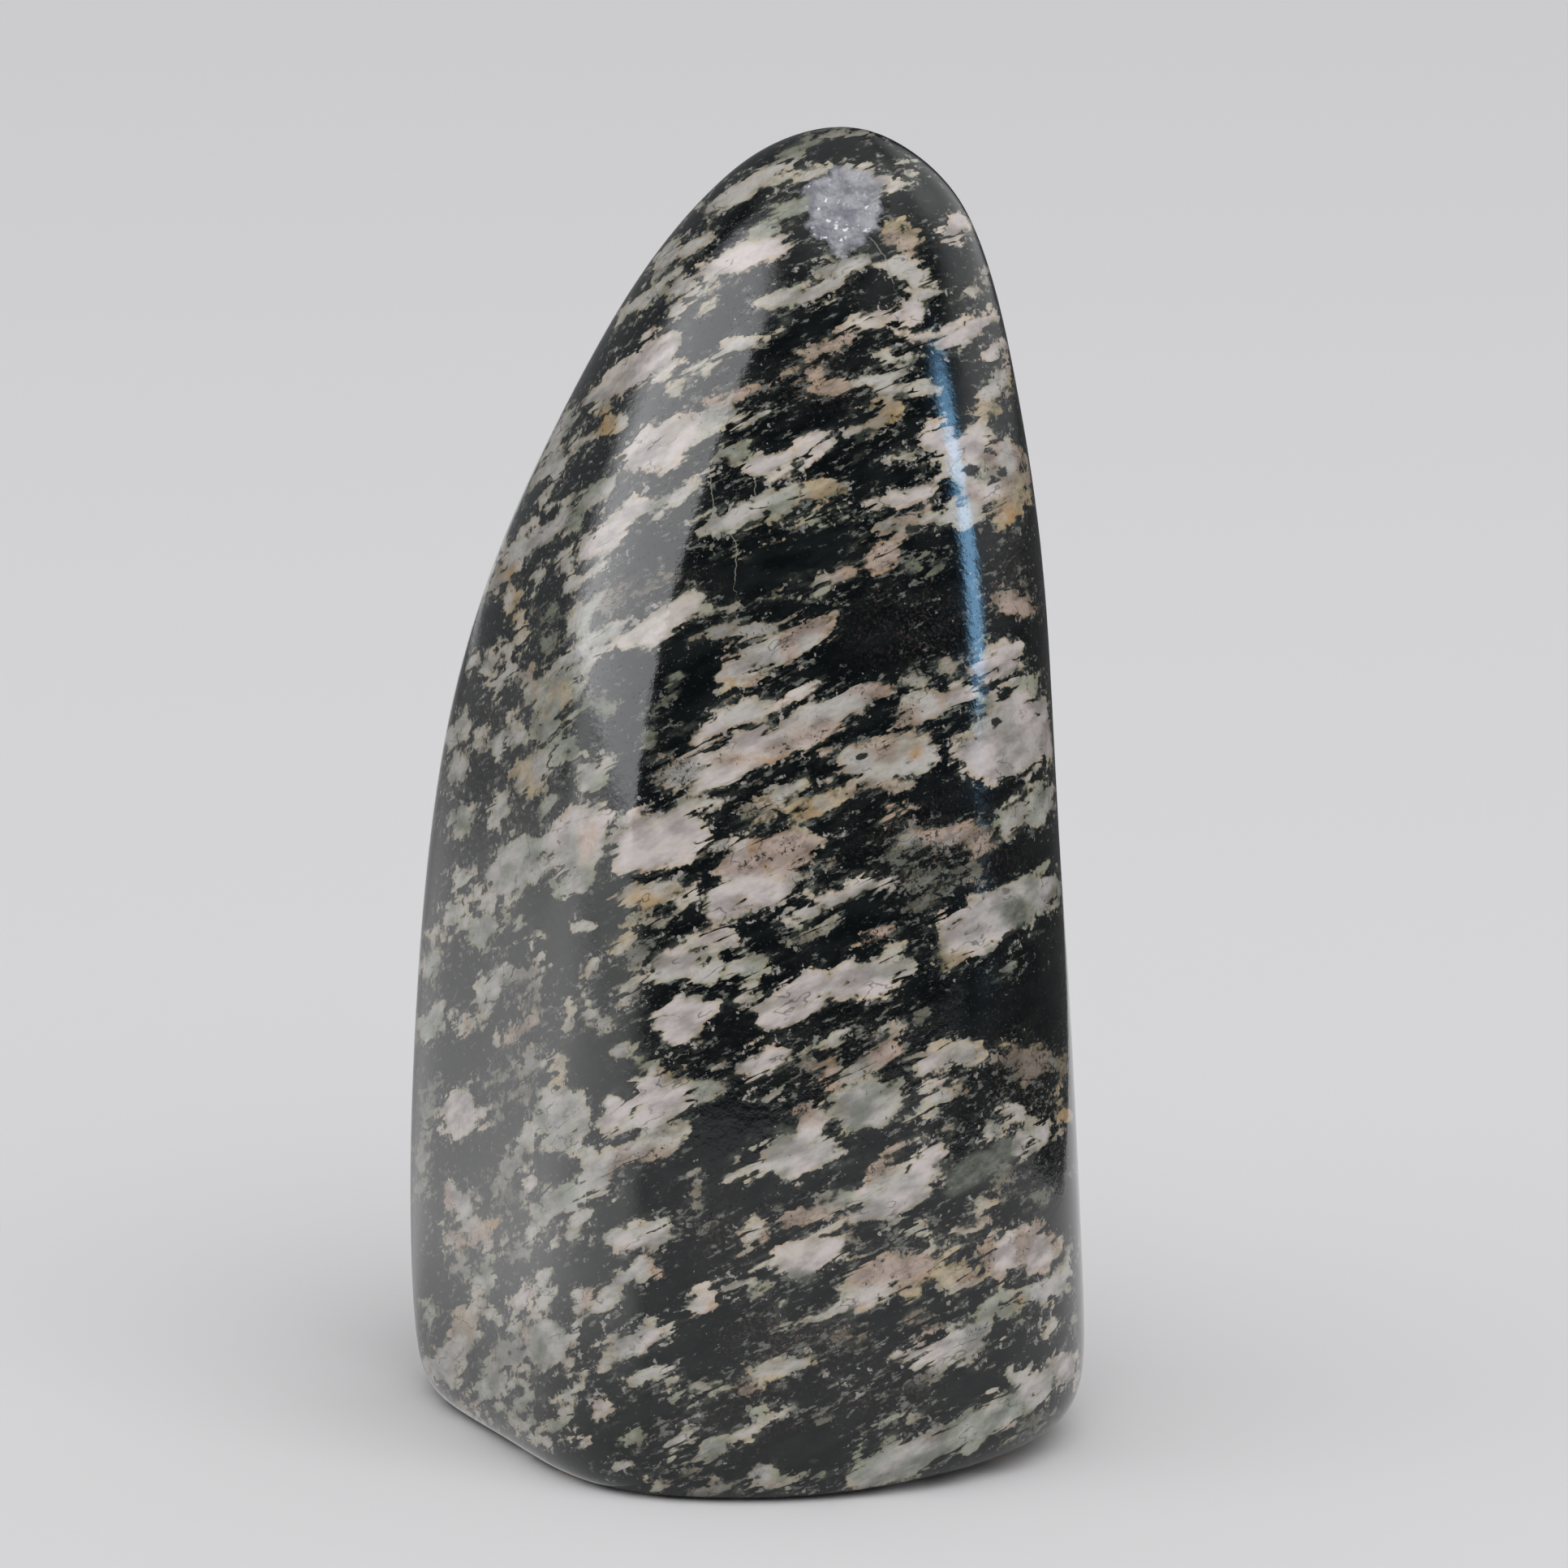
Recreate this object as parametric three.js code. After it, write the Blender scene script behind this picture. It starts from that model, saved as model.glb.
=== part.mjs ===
// A polished freeform of dark foliated rock crossed by pale lenses, standing on a small flat ground.
// It is one natural piece, so it is one closed solid. Sizes are in millimetres.
// +Z is up. The broad front looks along -Y and +X runs to its right.

import * as THREE from 'three';
import { mergeVertices } from 'three/addons/utils/BufferGeometryUtils.js';

// Overall size of the finished stone.
const HEIGHT = 130;
const WIDTH = 68.4;
const DEPTH = 60;

// Level girdles from the middle of the foot to the tip. Each gives its height and how far it
// reaches from the upright line over the foot: left and right along X, front and back along Y.
const girdle = (height, left, right, front, back) => ({ height, left, right, front, back });
const GIRDLES = [
  girdle(-0.2, 0.5, 0.5, -0.1, -0.1),
  girdle(-0.2, -16.5, 17.5, -13.1, 14.9),
  girdle(-0.2, -27.1, 27.9, -23.1, 23.3),
  girdle(-0.2, -33.1, 33.9, -29.1, 29.1),
  girdle(6, -34.1, 34.5, -29.9, 29.9),
  girdle(14, -34.4, 34.3, -30, 30.1),
  girdle(24, -34.4, 33.8, -29.6, 30.1),
  girdle(36, -33.9, 33.2, -28.7, 29.8),
  girdle(48, -33.2, 32.5, -27.5, 29.3),
  girdle(60, -31.9, 31.6, -26, 28.4),
  girdle(72, -29.8, 30.8, -24.1, 27.2),
  girdle(84, -26.2, 29.9, -21.5, 25.5),
  girdle(94.5, -21.7, 28.7, -18.8, 23.4),
  girdle(103.5, -17.2, 27.2, -15.9, 20.9),
  girdle(111.5, -12.8, 25.7, -12.6, 18.1),
  girdle(118.5, -8.1, 23.7, -8.9, 14.9),
  girdle(124, -3.1, 21.1, -4.9, 11.3),
  girdle(128.4, 2.1, 16.1, -0.5, 7.5),
  girdle(130.8, 10, 10, 3.5, 3.5),
];

// The outline of the widest girdle seen from above, in order of bearing from +X towards +Y.
const PLAN = [
  [34, 3],
  [32.5, 14],
  [24, 23.5],
  [9.5, 28.5],
  [-8, 28.5],
  [-22.5, 28],
  [-32.5, 24],
  [-33.5, 11.5],
  [-24.5, -6.5],
  [-18, -23.5],
  [-9, -32],
  [7, -32],
  [22.5, -26],
  [33, -13],
];

// The foot lifts off the ground towards the right, so the stone rests on the rest of it.
const LIFT_STARTS_AT = 6;
const LIFT_AT_EDGE = 2.4;
const LIFT_FADES_OUT_AT = 18;
const LIFT_CURVE = 1.3;

// A shallow pit of coarse crystals that the polish left open, on the front of the tip.
const PIT = { x: 10.4, y: -7.5, z: 123, radius: 5, depth: 0.8 };

// Broad, very shallow swells and hollows left by grinding the stone by hand.
const SWELLS = [
  { x: -27, y: -8, z: 40, reach: 20, rise: -0.35 },
  { x: -20, y: -16, z: 84, reach: 15, rise: 0.3 },
  { x: 8, y: -30, z: 30, reach: 22, rise: 0.3 },
  { x: 20, y: -22, z: 62, reach: 18, rise: -0.3 },
  { x: 30, y: 6, z: 86, reach: 18, rise: 0.25 },
  { x: 6, y: 28, z: 52, reach: 24, rise: -0.4 },
  { x: -18, y: 24, z: 30, reach: 18, rise: 0.35 },
  { x: 14, y: 20, z: 96, reach: 16, rise: 0.3 },
];

// The corners of the outline melt into a plain oval towards the tip.
const OVAL_STARTS_AT = 64;
const OVAL_AT_TIP = 0.75;

// Surface divisions: across each side of the starting block, and up it.
const SEGMENTS_ACROSS = 24;
const SEGMENTS_UP = 36;
const FOOT_GIRDLES = 3;
const TIP_GIRDLES = 2.6;

// Rock colour, with the sheen of a high polish.
const ROCK = new THREE.MeshStandardMaterial({ color: 0x6f6a64, roughness: 0.18, metalness: 0 });

// Value at place t between the evenly spaced marks of a list, eased over four of them.
function ease(marks, t) {
  const start = Math.min(Math.floor(t), marks.length - 4);
  const f = t - start;
  return ((1 - f) ** 3 * marks[start]
    + (3 * f ** 3 - 6 * f ** 2 + 4) * marks[start + 1]
    + (-3 * f ** 3 + 3 * f ** 2 + 3 * f + 1) * marks[start + 2]
    + f ** 3 * marks[start + 3]) / 6;
}

// A girdle measure from foot to tip, carried on past both ends onto the far side of the stone.
function measure(name, farSide) {
  const marks = GIRDLES.map((g) => g[name]);
  const far = GIRDLES.map((g) => g[farSide]);
  return [far[1], ...marks, far[far.length - 2]];
}

const MEASURES = {
  height: measure('height', 'height'),
  left: measure('left', 'right'),
  right: measure('right', 'left'),
  front: measure('front', 'back'),
  back: measure('back', 'front'),
};

// Point of the eased outline at a bearing in turns, before it is fitted to a girdle.
function outlinePoint(turns) {
  const t = THREE.MathUtils.euclideanModulo(turns, 1) * PLAN.length;
  return [0, 1].map((axis) => {
    const marks = PLAN.map((point) => point[axis]);
    return ease([marks.at(-1), ...marks, marks[0], marks[1]], t);
  });
}

const OUTLINE_BOX = new THREE.Box2();
const OUTLINE_STEPS = 720;
for (let i = 0; i < OUTLINE_STEPS; i += 1) {
  OUTLINE_BOX.expandByPoint(new THREE.Vector2(...outlinePoint(i / OUTLINE_STEPS)));
}

// Point on the skin of the stone, at a place counted in girdles from the foot and at a bearing.
function skinPoint(place, turns) {
  const at = Object.fromEntries(Object.keys(MEASURES).map((name) => [name, ease(MEASURES[name], place)]));
  const oval = OVAL_AT_TIP * THREE.MathUtils.smoothstep(at.height, OVAL_STARTS_AT, HEIGHT);
  const outline = OUTLINE_BOX.getParameter(new THREE.Vector2(...outlinePoint(turns)), new THREE.Vector2());
  const angle = turns * 2 * Math.PI;
  const across = THREE.MathUtils.lerp(outline.x, 0.5 + 0.5 * Math.cos(angle), oval);
  const deep = THREE.MathUtils.lerp(outline.y, 0.5 + 0.5 * Math.sin(angle), oval);
  return new THREE.Vector3(
    THREE.MathUtils.lerp(at.left, at.right, across),
    THREE.MathUtils.lerp(at.front, at.back, deep),
    Math.max(at.height, 0),
  );
}

// Place and bearing of a point of the starting block, whose sides run from -1 to 1.
function blockToSkin(x, y, z) {
  const ring = Math.max(Math.abs(x), Math.abs(y));
  const eighth = ring === 0 ? 0 : Math.min(Math.abs(x), Math.abs(y)) / ring / 8;
  const nearX = Math.abs(x) >= Math.abs(y);
  const quarter = nearX ? eighth : 0.25 - eighth;
  const upper = y >= 0 ? 1 : -1;
  const turns = upper * (x >= 0 ? quarter : 0.5 - quarter);
  const last = GIRDLES.length - 1;
  if (ring < 1 && z < 0) return [ring * FOOT_GIRDLES, turns];
  if (ring < 1 && z > 0) return [last - ring * TIP_GIRDLES, turns];
  return [THREE.MathUtils.mapLinear(z, -1, 1, FOOT_GIRDLES, last - TIP_GIRDLES), turns];
}

// How far the skin stands out at a point because of the swells and the pit.
function relief(point) {
  let rise = 0;
  for (const swell of SWELLS) {
    const away = point.distanceTo(swell) / swell.reach;
    rise += swell.rise * Math.exp(-away * away);
  }
  const fromPit = point.distanceTo(PIT) / PIT.radius;
  return rise - PIT.depth * (1 - THREE.MathUtils.smoothstep(fromPit, 0.5, 1));
}

// How far the foot is lifted at a point.
function lift(point) {
  const outward = THREE.MathUtils.clamp((point.x - LIFT_STARTS_AT) / (WIDTH / 2 - LIFT_STARTS_AT), 0, 1);
  const low = 1 - THREE.MathUtils.smoothstep(point.z, 0, LIFT_FADES_OUT_AT);
  return LIFT_AT_EDGE * outward ** LIFT_CURVE * low;
}

// Move every corner of a mesh to the point that a function gives for it.
function reshape(geometry, move) {
  const position = geometry.attributes.position;
  const point = new THREE.Vector3();
  for (let i = 0; i < position.count; i += 1) {
    point.fromBufferAttribute(position, i);
    const moved = move(point, i);
    position.setXYZ(i, moved.x, moved.y, moved.z);
  }
  geometry.computeVertexNormals();
}

// Shape a plain block into the skin of the stone and bring it to its exact overall size.
function makeStone() {
  const block = new THREE.BoxGeometry(2, 2, 2, SEGMENTS_ACROSS, SEGMENTS_ACROSS, SEGMENTS_UP);
  block.deleteAttribute('normal');
  block.deleteAttribute('uv');
  const geometry = mergeVertices(block);
  reshape(geometry, (point) => skinPoint(...blockToSkin(point.x, point.y, point.z)));
  const normals = geometry.attributes.normal.clone();
  reshape(geometry, (point, i) => {
    const raised = lift(point);
    const outward = new THREE.Vector3().fromBufferAttribute(normals, i);
    if (point.z > 0) point.addScaledVector(outward, relief(point));
    point.z += raised;
    return point;
  });

  geometry.computeBoundingBox();
  const size = geometry.boundingBox.getSize(new THREE.Vector3());
  const middle = geometry.boundingBox.getCenter(new THREE.Vector3());
  geometry.translate(-middle.x, -middle.y, -geometry.boundingBox.min.z);
  geometry.scale(WIDTH / size.x, DEPTH / size.y, HEIGHT / size.z);
  return geometry;
}

const group = new THREE.Group();
const stone = new THREE.Mesh(makeStone(), ROCK);
stone.name = 'stone';
group.add(stone);

export default group;
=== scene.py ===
"""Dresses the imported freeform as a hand-polished stone of dark foliated rock with pale ragged lenses.

The solid of the frame gives the shape. Everything here is its finish: the skin is refined, the crystal
patch near the tip is roughened, and the pale lenses, stains and hairline cracks are laid on as colour.
Sizes are in millimetres where a name says so or a mark is read, and in metres for Blender.
"""

import logging
import math
from dataclasses import dataclass
from enum import Enum
from typing import Optional

import bpy
import numpy as np
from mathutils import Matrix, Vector, noise


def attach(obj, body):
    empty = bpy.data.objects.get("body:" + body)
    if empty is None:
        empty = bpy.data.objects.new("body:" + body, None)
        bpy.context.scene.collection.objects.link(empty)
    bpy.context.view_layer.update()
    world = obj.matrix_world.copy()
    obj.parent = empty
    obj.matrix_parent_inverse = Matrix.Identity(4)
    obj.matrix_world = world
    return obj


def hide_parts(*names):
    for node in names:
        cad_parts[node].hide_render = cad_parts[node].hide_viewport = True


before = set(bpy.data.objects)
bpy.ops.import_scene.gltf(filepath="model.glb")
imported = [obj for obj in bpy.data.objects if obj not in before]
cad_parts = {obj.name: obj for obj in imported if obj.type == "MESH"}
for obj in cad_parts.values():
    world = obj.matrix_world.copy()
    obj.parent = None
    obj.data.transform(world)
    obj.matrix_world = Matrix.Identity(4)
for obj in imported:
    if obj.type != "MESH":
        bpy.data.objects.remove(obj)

LOG = logging.getLogger("polished_freeform")
MM = 0.001

Rgb = tuple[float, float, float]

# Upright of the plane that the lenses are flattened in.
FOLIATION: Rgb = (-0.44, 0.19, 0.88)


class Tone(Enum):
    """The kinds of pale mineral that fill the lenses."""

    WHITE = "pinkish white feldspar"
    CREAM = "cream"
    GREEN = "pale grey-green"
    BROWN = "granular pinkish brown"
    OCHRE = "ochre stained"
    PEPPER = "salt and pepper"


WHITE, CREAM, GREEN, BROWN, OCHRE, PEPPER = Tone


@dataclass(frozen=True)
class ToneLook:
    """Colour of a pale mineral and how many dark grains it holds, from 0 to 1."""

    colour: Rgb
    pepper: float


TONE_LOOKS: dict[Tone, ToneLook] = {
    WHITE: ToneLook((0.56, 0.505, 0.49), 0.12),
    CREAM: ToneLook((0.465, 0.445, 0.42), 0.34),
    GREEN: ToneLook((0.32, 0.335, 0.29), 0.45),
    BROWN: ToneLook((0.41, 0.325, 0.28), 0.85),
    OCHRE: ToneLook((0.45, 0.375, 0.27), 0.55),
    PEPPER: ToneLook((0.30, 0.29, 0.27), 1.0),
}


@dataclass(frozen=True)
class Patch:
    """An ellipse in the upright picture plane through the middle of the stone, in millimetres.

    The dip is in degrees, up to the right.
    """

    across: float
    up: float
    half_length: float
    half_thickness: float
    dip: float


@dataclass(frozen=True)
class Lens(Patch):
    """A pale lens and its one or two tones. A dull lens lies a little under the polished skin."""

    tone: Tone
    second: Optional[Tone] = None
    dull: bool = False


@dataclass(frozen=True)
class Spot:
    """A soft-edged place in the picture plane: a stain, or a stretch of the dark rock."""

    across: float
    up: float
    half_width: float
    half_height: float
    strength: float = 1.0


# The pale lenses that the photograph shows, stretch by stretch from the tip to the foot.
TIP_LENSES = (
    Lens(6, 128.2, 3.6, 0.5, 32, GREEN, dull=True), Lens(10.5, 129.6, 3, 0.5, 5, CREAM, dull=True),
    Lens(0.5, 124.3, 5.2, 0.95, 28, CREAM), Lens(5.5, 125.3, 2.6, 0.55, 20, CREAM),
    Lens(7.5, 126.2, 1, 0.6, 20, CREAM), Lens(-4.6, 118.6, 2.2, 0.6, 42, CREAM),
    Lens(0.5, 117.6, 5.6, 1.25, 24, WHITE), Lens(3.8, 121.2, 3.8, 1.3, 25, GREEN),
    Lens(-4, 114.3, 3.6, 0.45, 18, CREAM), Lens(12.4, 125.1, 3.2, 1.5, -15, WHITE),
    Lens(16, 126, 0.8, 0.4, 0, CREAM), Lens(16.5, 124.6, 1, 0.3, 0, CREAM),
    Lens(9.6, 116.7, 4, 1.5, 14, CREAM), Lens(5.5, 113.6, 4.2, 1.2, 12, CREAM),
    Lens(9, 114.5, 2, 1.2, 10, CREAM), Lens(14.5, 111.6, 4, 1.2, 14, WHITE),
    Lens(8.8, 108.7, 2.8, 0.6, 25, BROWN), Lens(16.2, 119.5, 2.2, 1.6, 0, OCHRE, BROWN),
    Lens(20.8, 120, 2, 1.7, 30, WHITE), Lens(16.3, 115.9, 2.3, 1.2, -20, CREAM),
    Lens(18.2, 113.5, 2.2, 0.8, 5, CREAM), Lens(23.5, 114.8, 1.8, 0.7, 45, CREAM),
    Lens(22, 109.8, 3.8, 1.4, 25, WHITE), Lens(24.8, 108.2, 2, 1, 20, WHITE),
    Lens(17.3, 109.2, 1.8, 0.9, 0, WHITE), Lens(15.8, 107.3, 3.2, 0.6, 0, CREAM),
    Lens(15, 105, 4, 1.1, 5, CREAM), Lens(8.5, 104.5, 2, 1, 0, BROWN),
    Lens(24.8, 104, 3.4, 1.4, 65, CREAM, OCHRE), Lens(-1, 108.2, 5.5, 0.8, 27, CREAM),
    Lens(3.4, 105, 4.5, 0.35, 17, BROWN), Lens(-2, 103.3, 3.5, 0.5, 14, BROWN),
    Lens(-0.5, 101.3, 3.8, 0.8, 18, CREAM), Lens(13.8, 101.8, 2.6, 1.3, 60, OCHRE, CREAM),
    Lens(11.5, 100.2, 2.2, 0.7, 10, CREAM),
)

UPPER_LEFT_LENSES = (
    Lens(-7.8, 117, 3, 0.7, 55, CREAM), Lens(-6.6, 114.6, 1.4, 0.8, 20, CREAM),
    Lens(-9.5, 113.2, 3.4, 0.6, 35, CREAM), Lens(-6.5, 112.6, 1.4, 0.35, 60, CREAM),
    Lens(-9.8, 106.6, 5.2, 1.7, 38, WHITE), Lens(-14.5, 103.3, 2.2, 0.9, 20, CREAM),
    Lens(-13.4, 101.8, 2, 0.8, 80, OCHRE), Lens(-12.2, 101.3, 0.8, 0.4, 30, CREAM),
    Lens(-18, 100.3, 2.2, 0.8, 50, CREAM), Lens(-16, 99, 2, 0.35, 38, CREAM),
    Lens(-18.4, 97, 1.8, 0.8, 70, CREAM), Lens(-20, 96, 3, 0.4, 62, CREAM),
    Lens(-19.2, 93.8, 1.3, 0.35, 60, CREAM), Lens(-16.4, 92.3, 5.2, 1, 38, CREAM, GREEN),
    Lens(-21.5, 88.8, 3.6, 1.2, 42, CREAM), Lens(-13.2, 90.2, 4.8, 1.3, 40, WHITE),
    Lens(-11, 92.6, 1.8, 0.5, 50, WHITE), Lens(-7.8, 99, 5.4, 1.8, 35, WHITE),
    Lens(-3, 101.5, 2.5, 1.2, 20, PEPPER), Lens(-5.5, 94.3, 4, 0.6, 38, CREAM),
    Lens(-6, 104.3, 1.4, 0.5, 30, CREAM), Lens(-14, 87.3, 2.5, 0.4, 48, CREAM),
    Lens(-18.5, 86.8, 2.2, 0.35, 35, CREAM), Lens(-17, 86.3, 0.6, 0.6, 0, CREAM),
    Lens(-9, 92.8, 2.4, 0.5, 25, GREEN, dull=True), Lens(-3, 112.2, 0.6, 0.3, 20, CREAM),
)

UPPER_LENSES = (
    Lens(4, 97.3, 4.8, 1.6, 17, WHITE), Lens(7.2, 99, 2, 1.2, 10, WHITE),
    Lens(-1, 98, 1.6, 0.8, 20, GREEN), Lens(1.5, 92.3, 6.5, 1.3, 17, CREAM, GREEN),
    Lens(8, 94.2, 3.2, 1.4, 10, CREAM, OCHRE), Lens(-3.5, 91, 1.5, 0.8, 20, CREAM),
    Lens(6.5, 91.2, 3.5, 0.5, 5, GREEN), Lens(3.5, 90.5, 2.5, 0.45, 15, CREAM, OCHRE),
    Lens(1.5, 89.2, 2.6, 0.35, 15, CREAM, OCHRE), Lens(10.8, 91, 0.6, 0.5, 0, CREAM),
    Lens(15.5, 93.6, 4, 1.2, 10, WHITE), Lens(18.3, 95.1, 1.5, 0.9, 20, WHITE),
    Lens(18, 91.6, 2.4, 0.9, -10, CREAM, BROWN), Lens(14.6, 90.8, 1.5, 0.8, 0, PEPPER),
    Lens(14.5, 89.3, 2, 0.5, 25, BROWN), Lens(16.5, 97.6, 2.3, 0.6, -10, CREAM),
    Lens(14, 97.9, 1, 0.3, 0, CREAM), Lens(19.3, 99.3, 2.3, 1.5, 10, WHITE),
    Lens(22.8, 98.6, 2.6, 2.2, -20, WHITE), Lens(21.8, 96.2, 1.6, 1.5, 0, CREAM),
    Lens(25.5, 97, 2.5, 2.5, 0, BROWN, CREAM), Lens(23.5, 93.8, 2.5, 1.4, -20, BROWN, WHITE),
    Lens(22, 92, 2, 1.6, 0, CREAM), Lens(25.8, 92.2, 1.8, 1.7, 0, OCHRE),
    Lens(27, 95, 1.6, 2, 0, OCHRE, BROWN), Lens(11.5, 86.4, 4.6, 0.9, 17, BROWN),
    Lens(8.5, 85.6, 1.8, 0.9, 17, WHITE), Lens(7.3, 84.5, 1.8, 0.7, 20, GREEN),
    Lens(9.2, 83.4, 0.7, 0.4, 20, PEPPER), Lens(18.2, 87, 1.4, 0.7, 10, GREEN, dull=True),
    Lens(26.3, 83.5, 2.8, 1.5, -25, BROWN), Lens(3.3, 78.3, 6.3, 2, 27, BROWN, CREAM),
    Lens(2.5, 80.5, 2.4, 0.7, 12, PEPPER), Lens(0, 83, 3.5, 0.35, 20, CREAM, dull=True),
    Lens(-3, 80, 2, 0.5, 20, CREAM, dull=True), Lens(-2, 88, 2, 0.4, -5, GREEN, dull=True),
    Lens(25, 76.8, 3.3, 1.7, 28, WHITE), Lens(21.5, 74.5, 2.5, 1.5, 20, WHITE),
    Lens(17.5, 76.2, 1.6, 0.8, 0, PEPPER), Lens(20, 76.7, 1.4, 0.7, 0, PEPPER),
    Lens(24, 79.3, 0.8, 0.5, 0, GREEN), Lens(10, 73, 5, 1.6, 22, CREAM, BROWN),
    Lens(17.7, 72.6, 4.5, 1.8, 22, BROWN, CREAM), Lens(-0.5, 71.8, 3.8, 1.1, 18, CREAM),
    Lens(27.5, 72, 3.5, 2.5, 10, WHITE, CREAM), Lens(28, 75, 1.5, 0.8, 10, GREEN),
    Lens(24, 72.5, 1.2, 1.2, 0, GREEN), Lens(6.5, 74.9, 1.6, 0.4, 10, WHITE),
    Lens(4, 73.5, 2, 0.3, 25, WHITE),
)

MIDDLE_LEFT_LENSES = (
    Lens(-23.8, 86, 2.6, 1, 60, CREAM, OCHRE), Lens(-22.3, 82.8, 2.5, 0.8, 100, OCHRE, CREAM),
    Lens(-18.9, 82, 1.3, 0.4, 40, GREEN, dull=True), Lens(-19.3, 79, 1, 0.3, 55, GREEN, dull=True),
    Lens(-15.8, 82, 2.5, 0.7, 45, CREAM, GREEN), Lens(-16.5, 85, 1, 0.3, 40, CREAM),
    Lens(-11, 84.5, 4.5, 0.7, 20, BROWN, dull=True), Lens(-13, 82.6, 1.2, 0.8, 60, CREAM, dull=True),
    Lens(-8, 81, 4.6, 1.5, 28, WHITE), Lens(-4.3, 82.3, 1.5, 0.9, 10, GREEN),
    Lens(-12.5, 80.3, 3, 0.8, 25, CREAM, GREEN), Lens(-15, 79, 2.5, 1, 20, CREAM, GREEN),
    Lens(-17.5, 76, 4, 1.5, 42, CREAM, GREEN), Lens(-18.5, 74, 2.5, 2.2, 40, GREEN, OCHRE),
    Lens(-17.5, 68.8, 1.6, 1.3, 0, GREEN), Lens(-19.5, 71, 1.5, 1.5, 0, GREEN),
    Lens(-25.6, 77, 1.2, 0.9, -60, CREAM), Lens(-23.8, 78.2, 1.8, 0.5, 40, CREAM),
    Lens(-24, 75.2, 2, 0.7, 60, CREAM), Lens(-22.5, 76.2, 1.8, 0.7, -10, CREAM),
    Lens(-24.8, 73.8, 1, 0.5, 60, CREAM), Lens(-20.8, 76, 0.7, 0.5, 0, BROWN),
    Lens(-21.5, 72.8, 2.5, 0.7, 50, CREAM), Lens(-23.6, 69.5, 2.2, 1.4, 10, CREAM),
    Lens(-21, 66.3, 2.6, 1.5, 40, CREAM, OCHRE), Lens(-23.8, 63.2, 1.9, 0.9, 60, CREAM, GREEN),
    Lens(-28.3, 70.5, 1.8, 0.7, 60, CREAM), Lens(-28, 67, 2.6, 0.8, 55, CREAM),
    Lens(-27.6, 61.6, 1.7, 1.3, 40, CREAM, GREEN), Lens(-27.5, 56, 1.1, 1, 0, CREAM),
    Lens(-22.5, 57, 3.5, 2.2, 35, CREAM, GREEN), Lens(-23.9, 60.6, 0.6, 0.3, 70, CREAM),
    Lens(-19.5, 62.5, 2.2, 0.6, 65, GREEN), Lens(-20.7, 57.5, 1.2, 0.35, 60, CREAM),
    Lens(-16.3, 59.8, 4, 2.8, 55, CREAM, WHITE), Lens(-16.8, 55.5, 2.4, 1.4, 20, CREAM, GREEN),
    Lens(-14.6, 66.3, 2.3, 1.2, 50, CREAM, GREEN), Lens(-8.5, 59.8, 5.2, 3.4, 10, WHITE),
    Lens(-9.5, 54.5, 3.6, 1.4, 10, CREAM, OCHRE), Lens(-4.5, 63.4, 3.2, 0.8, -5, CREAM),
    Lens(-6, 66.5, 3, 1.5, 30, PEPPER, BROWN), Lens(-9.3, 69.5, 1, 1, 0, GREEN, dull=True),
    Lens(-6, 70.3, 1, 0.6, 0, GREEN, dull=True), Lens(-3, 70.8, 2.2, 1.4, 30, WHITE, BROWN),
    Lens(-3, 68, 2.2, 1.2, 10, WHITE, PEPPER), Lens(-2.3, 66, 2.5, 1.2, 10, WHITE),
    Lens(-7, 74.3, 1.8, 0.4, 50, GREEN, dull=True), Lens(-14.5, 73.5, 1.2, 0.8, 0, GREEN, dull=True),
)

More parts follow.
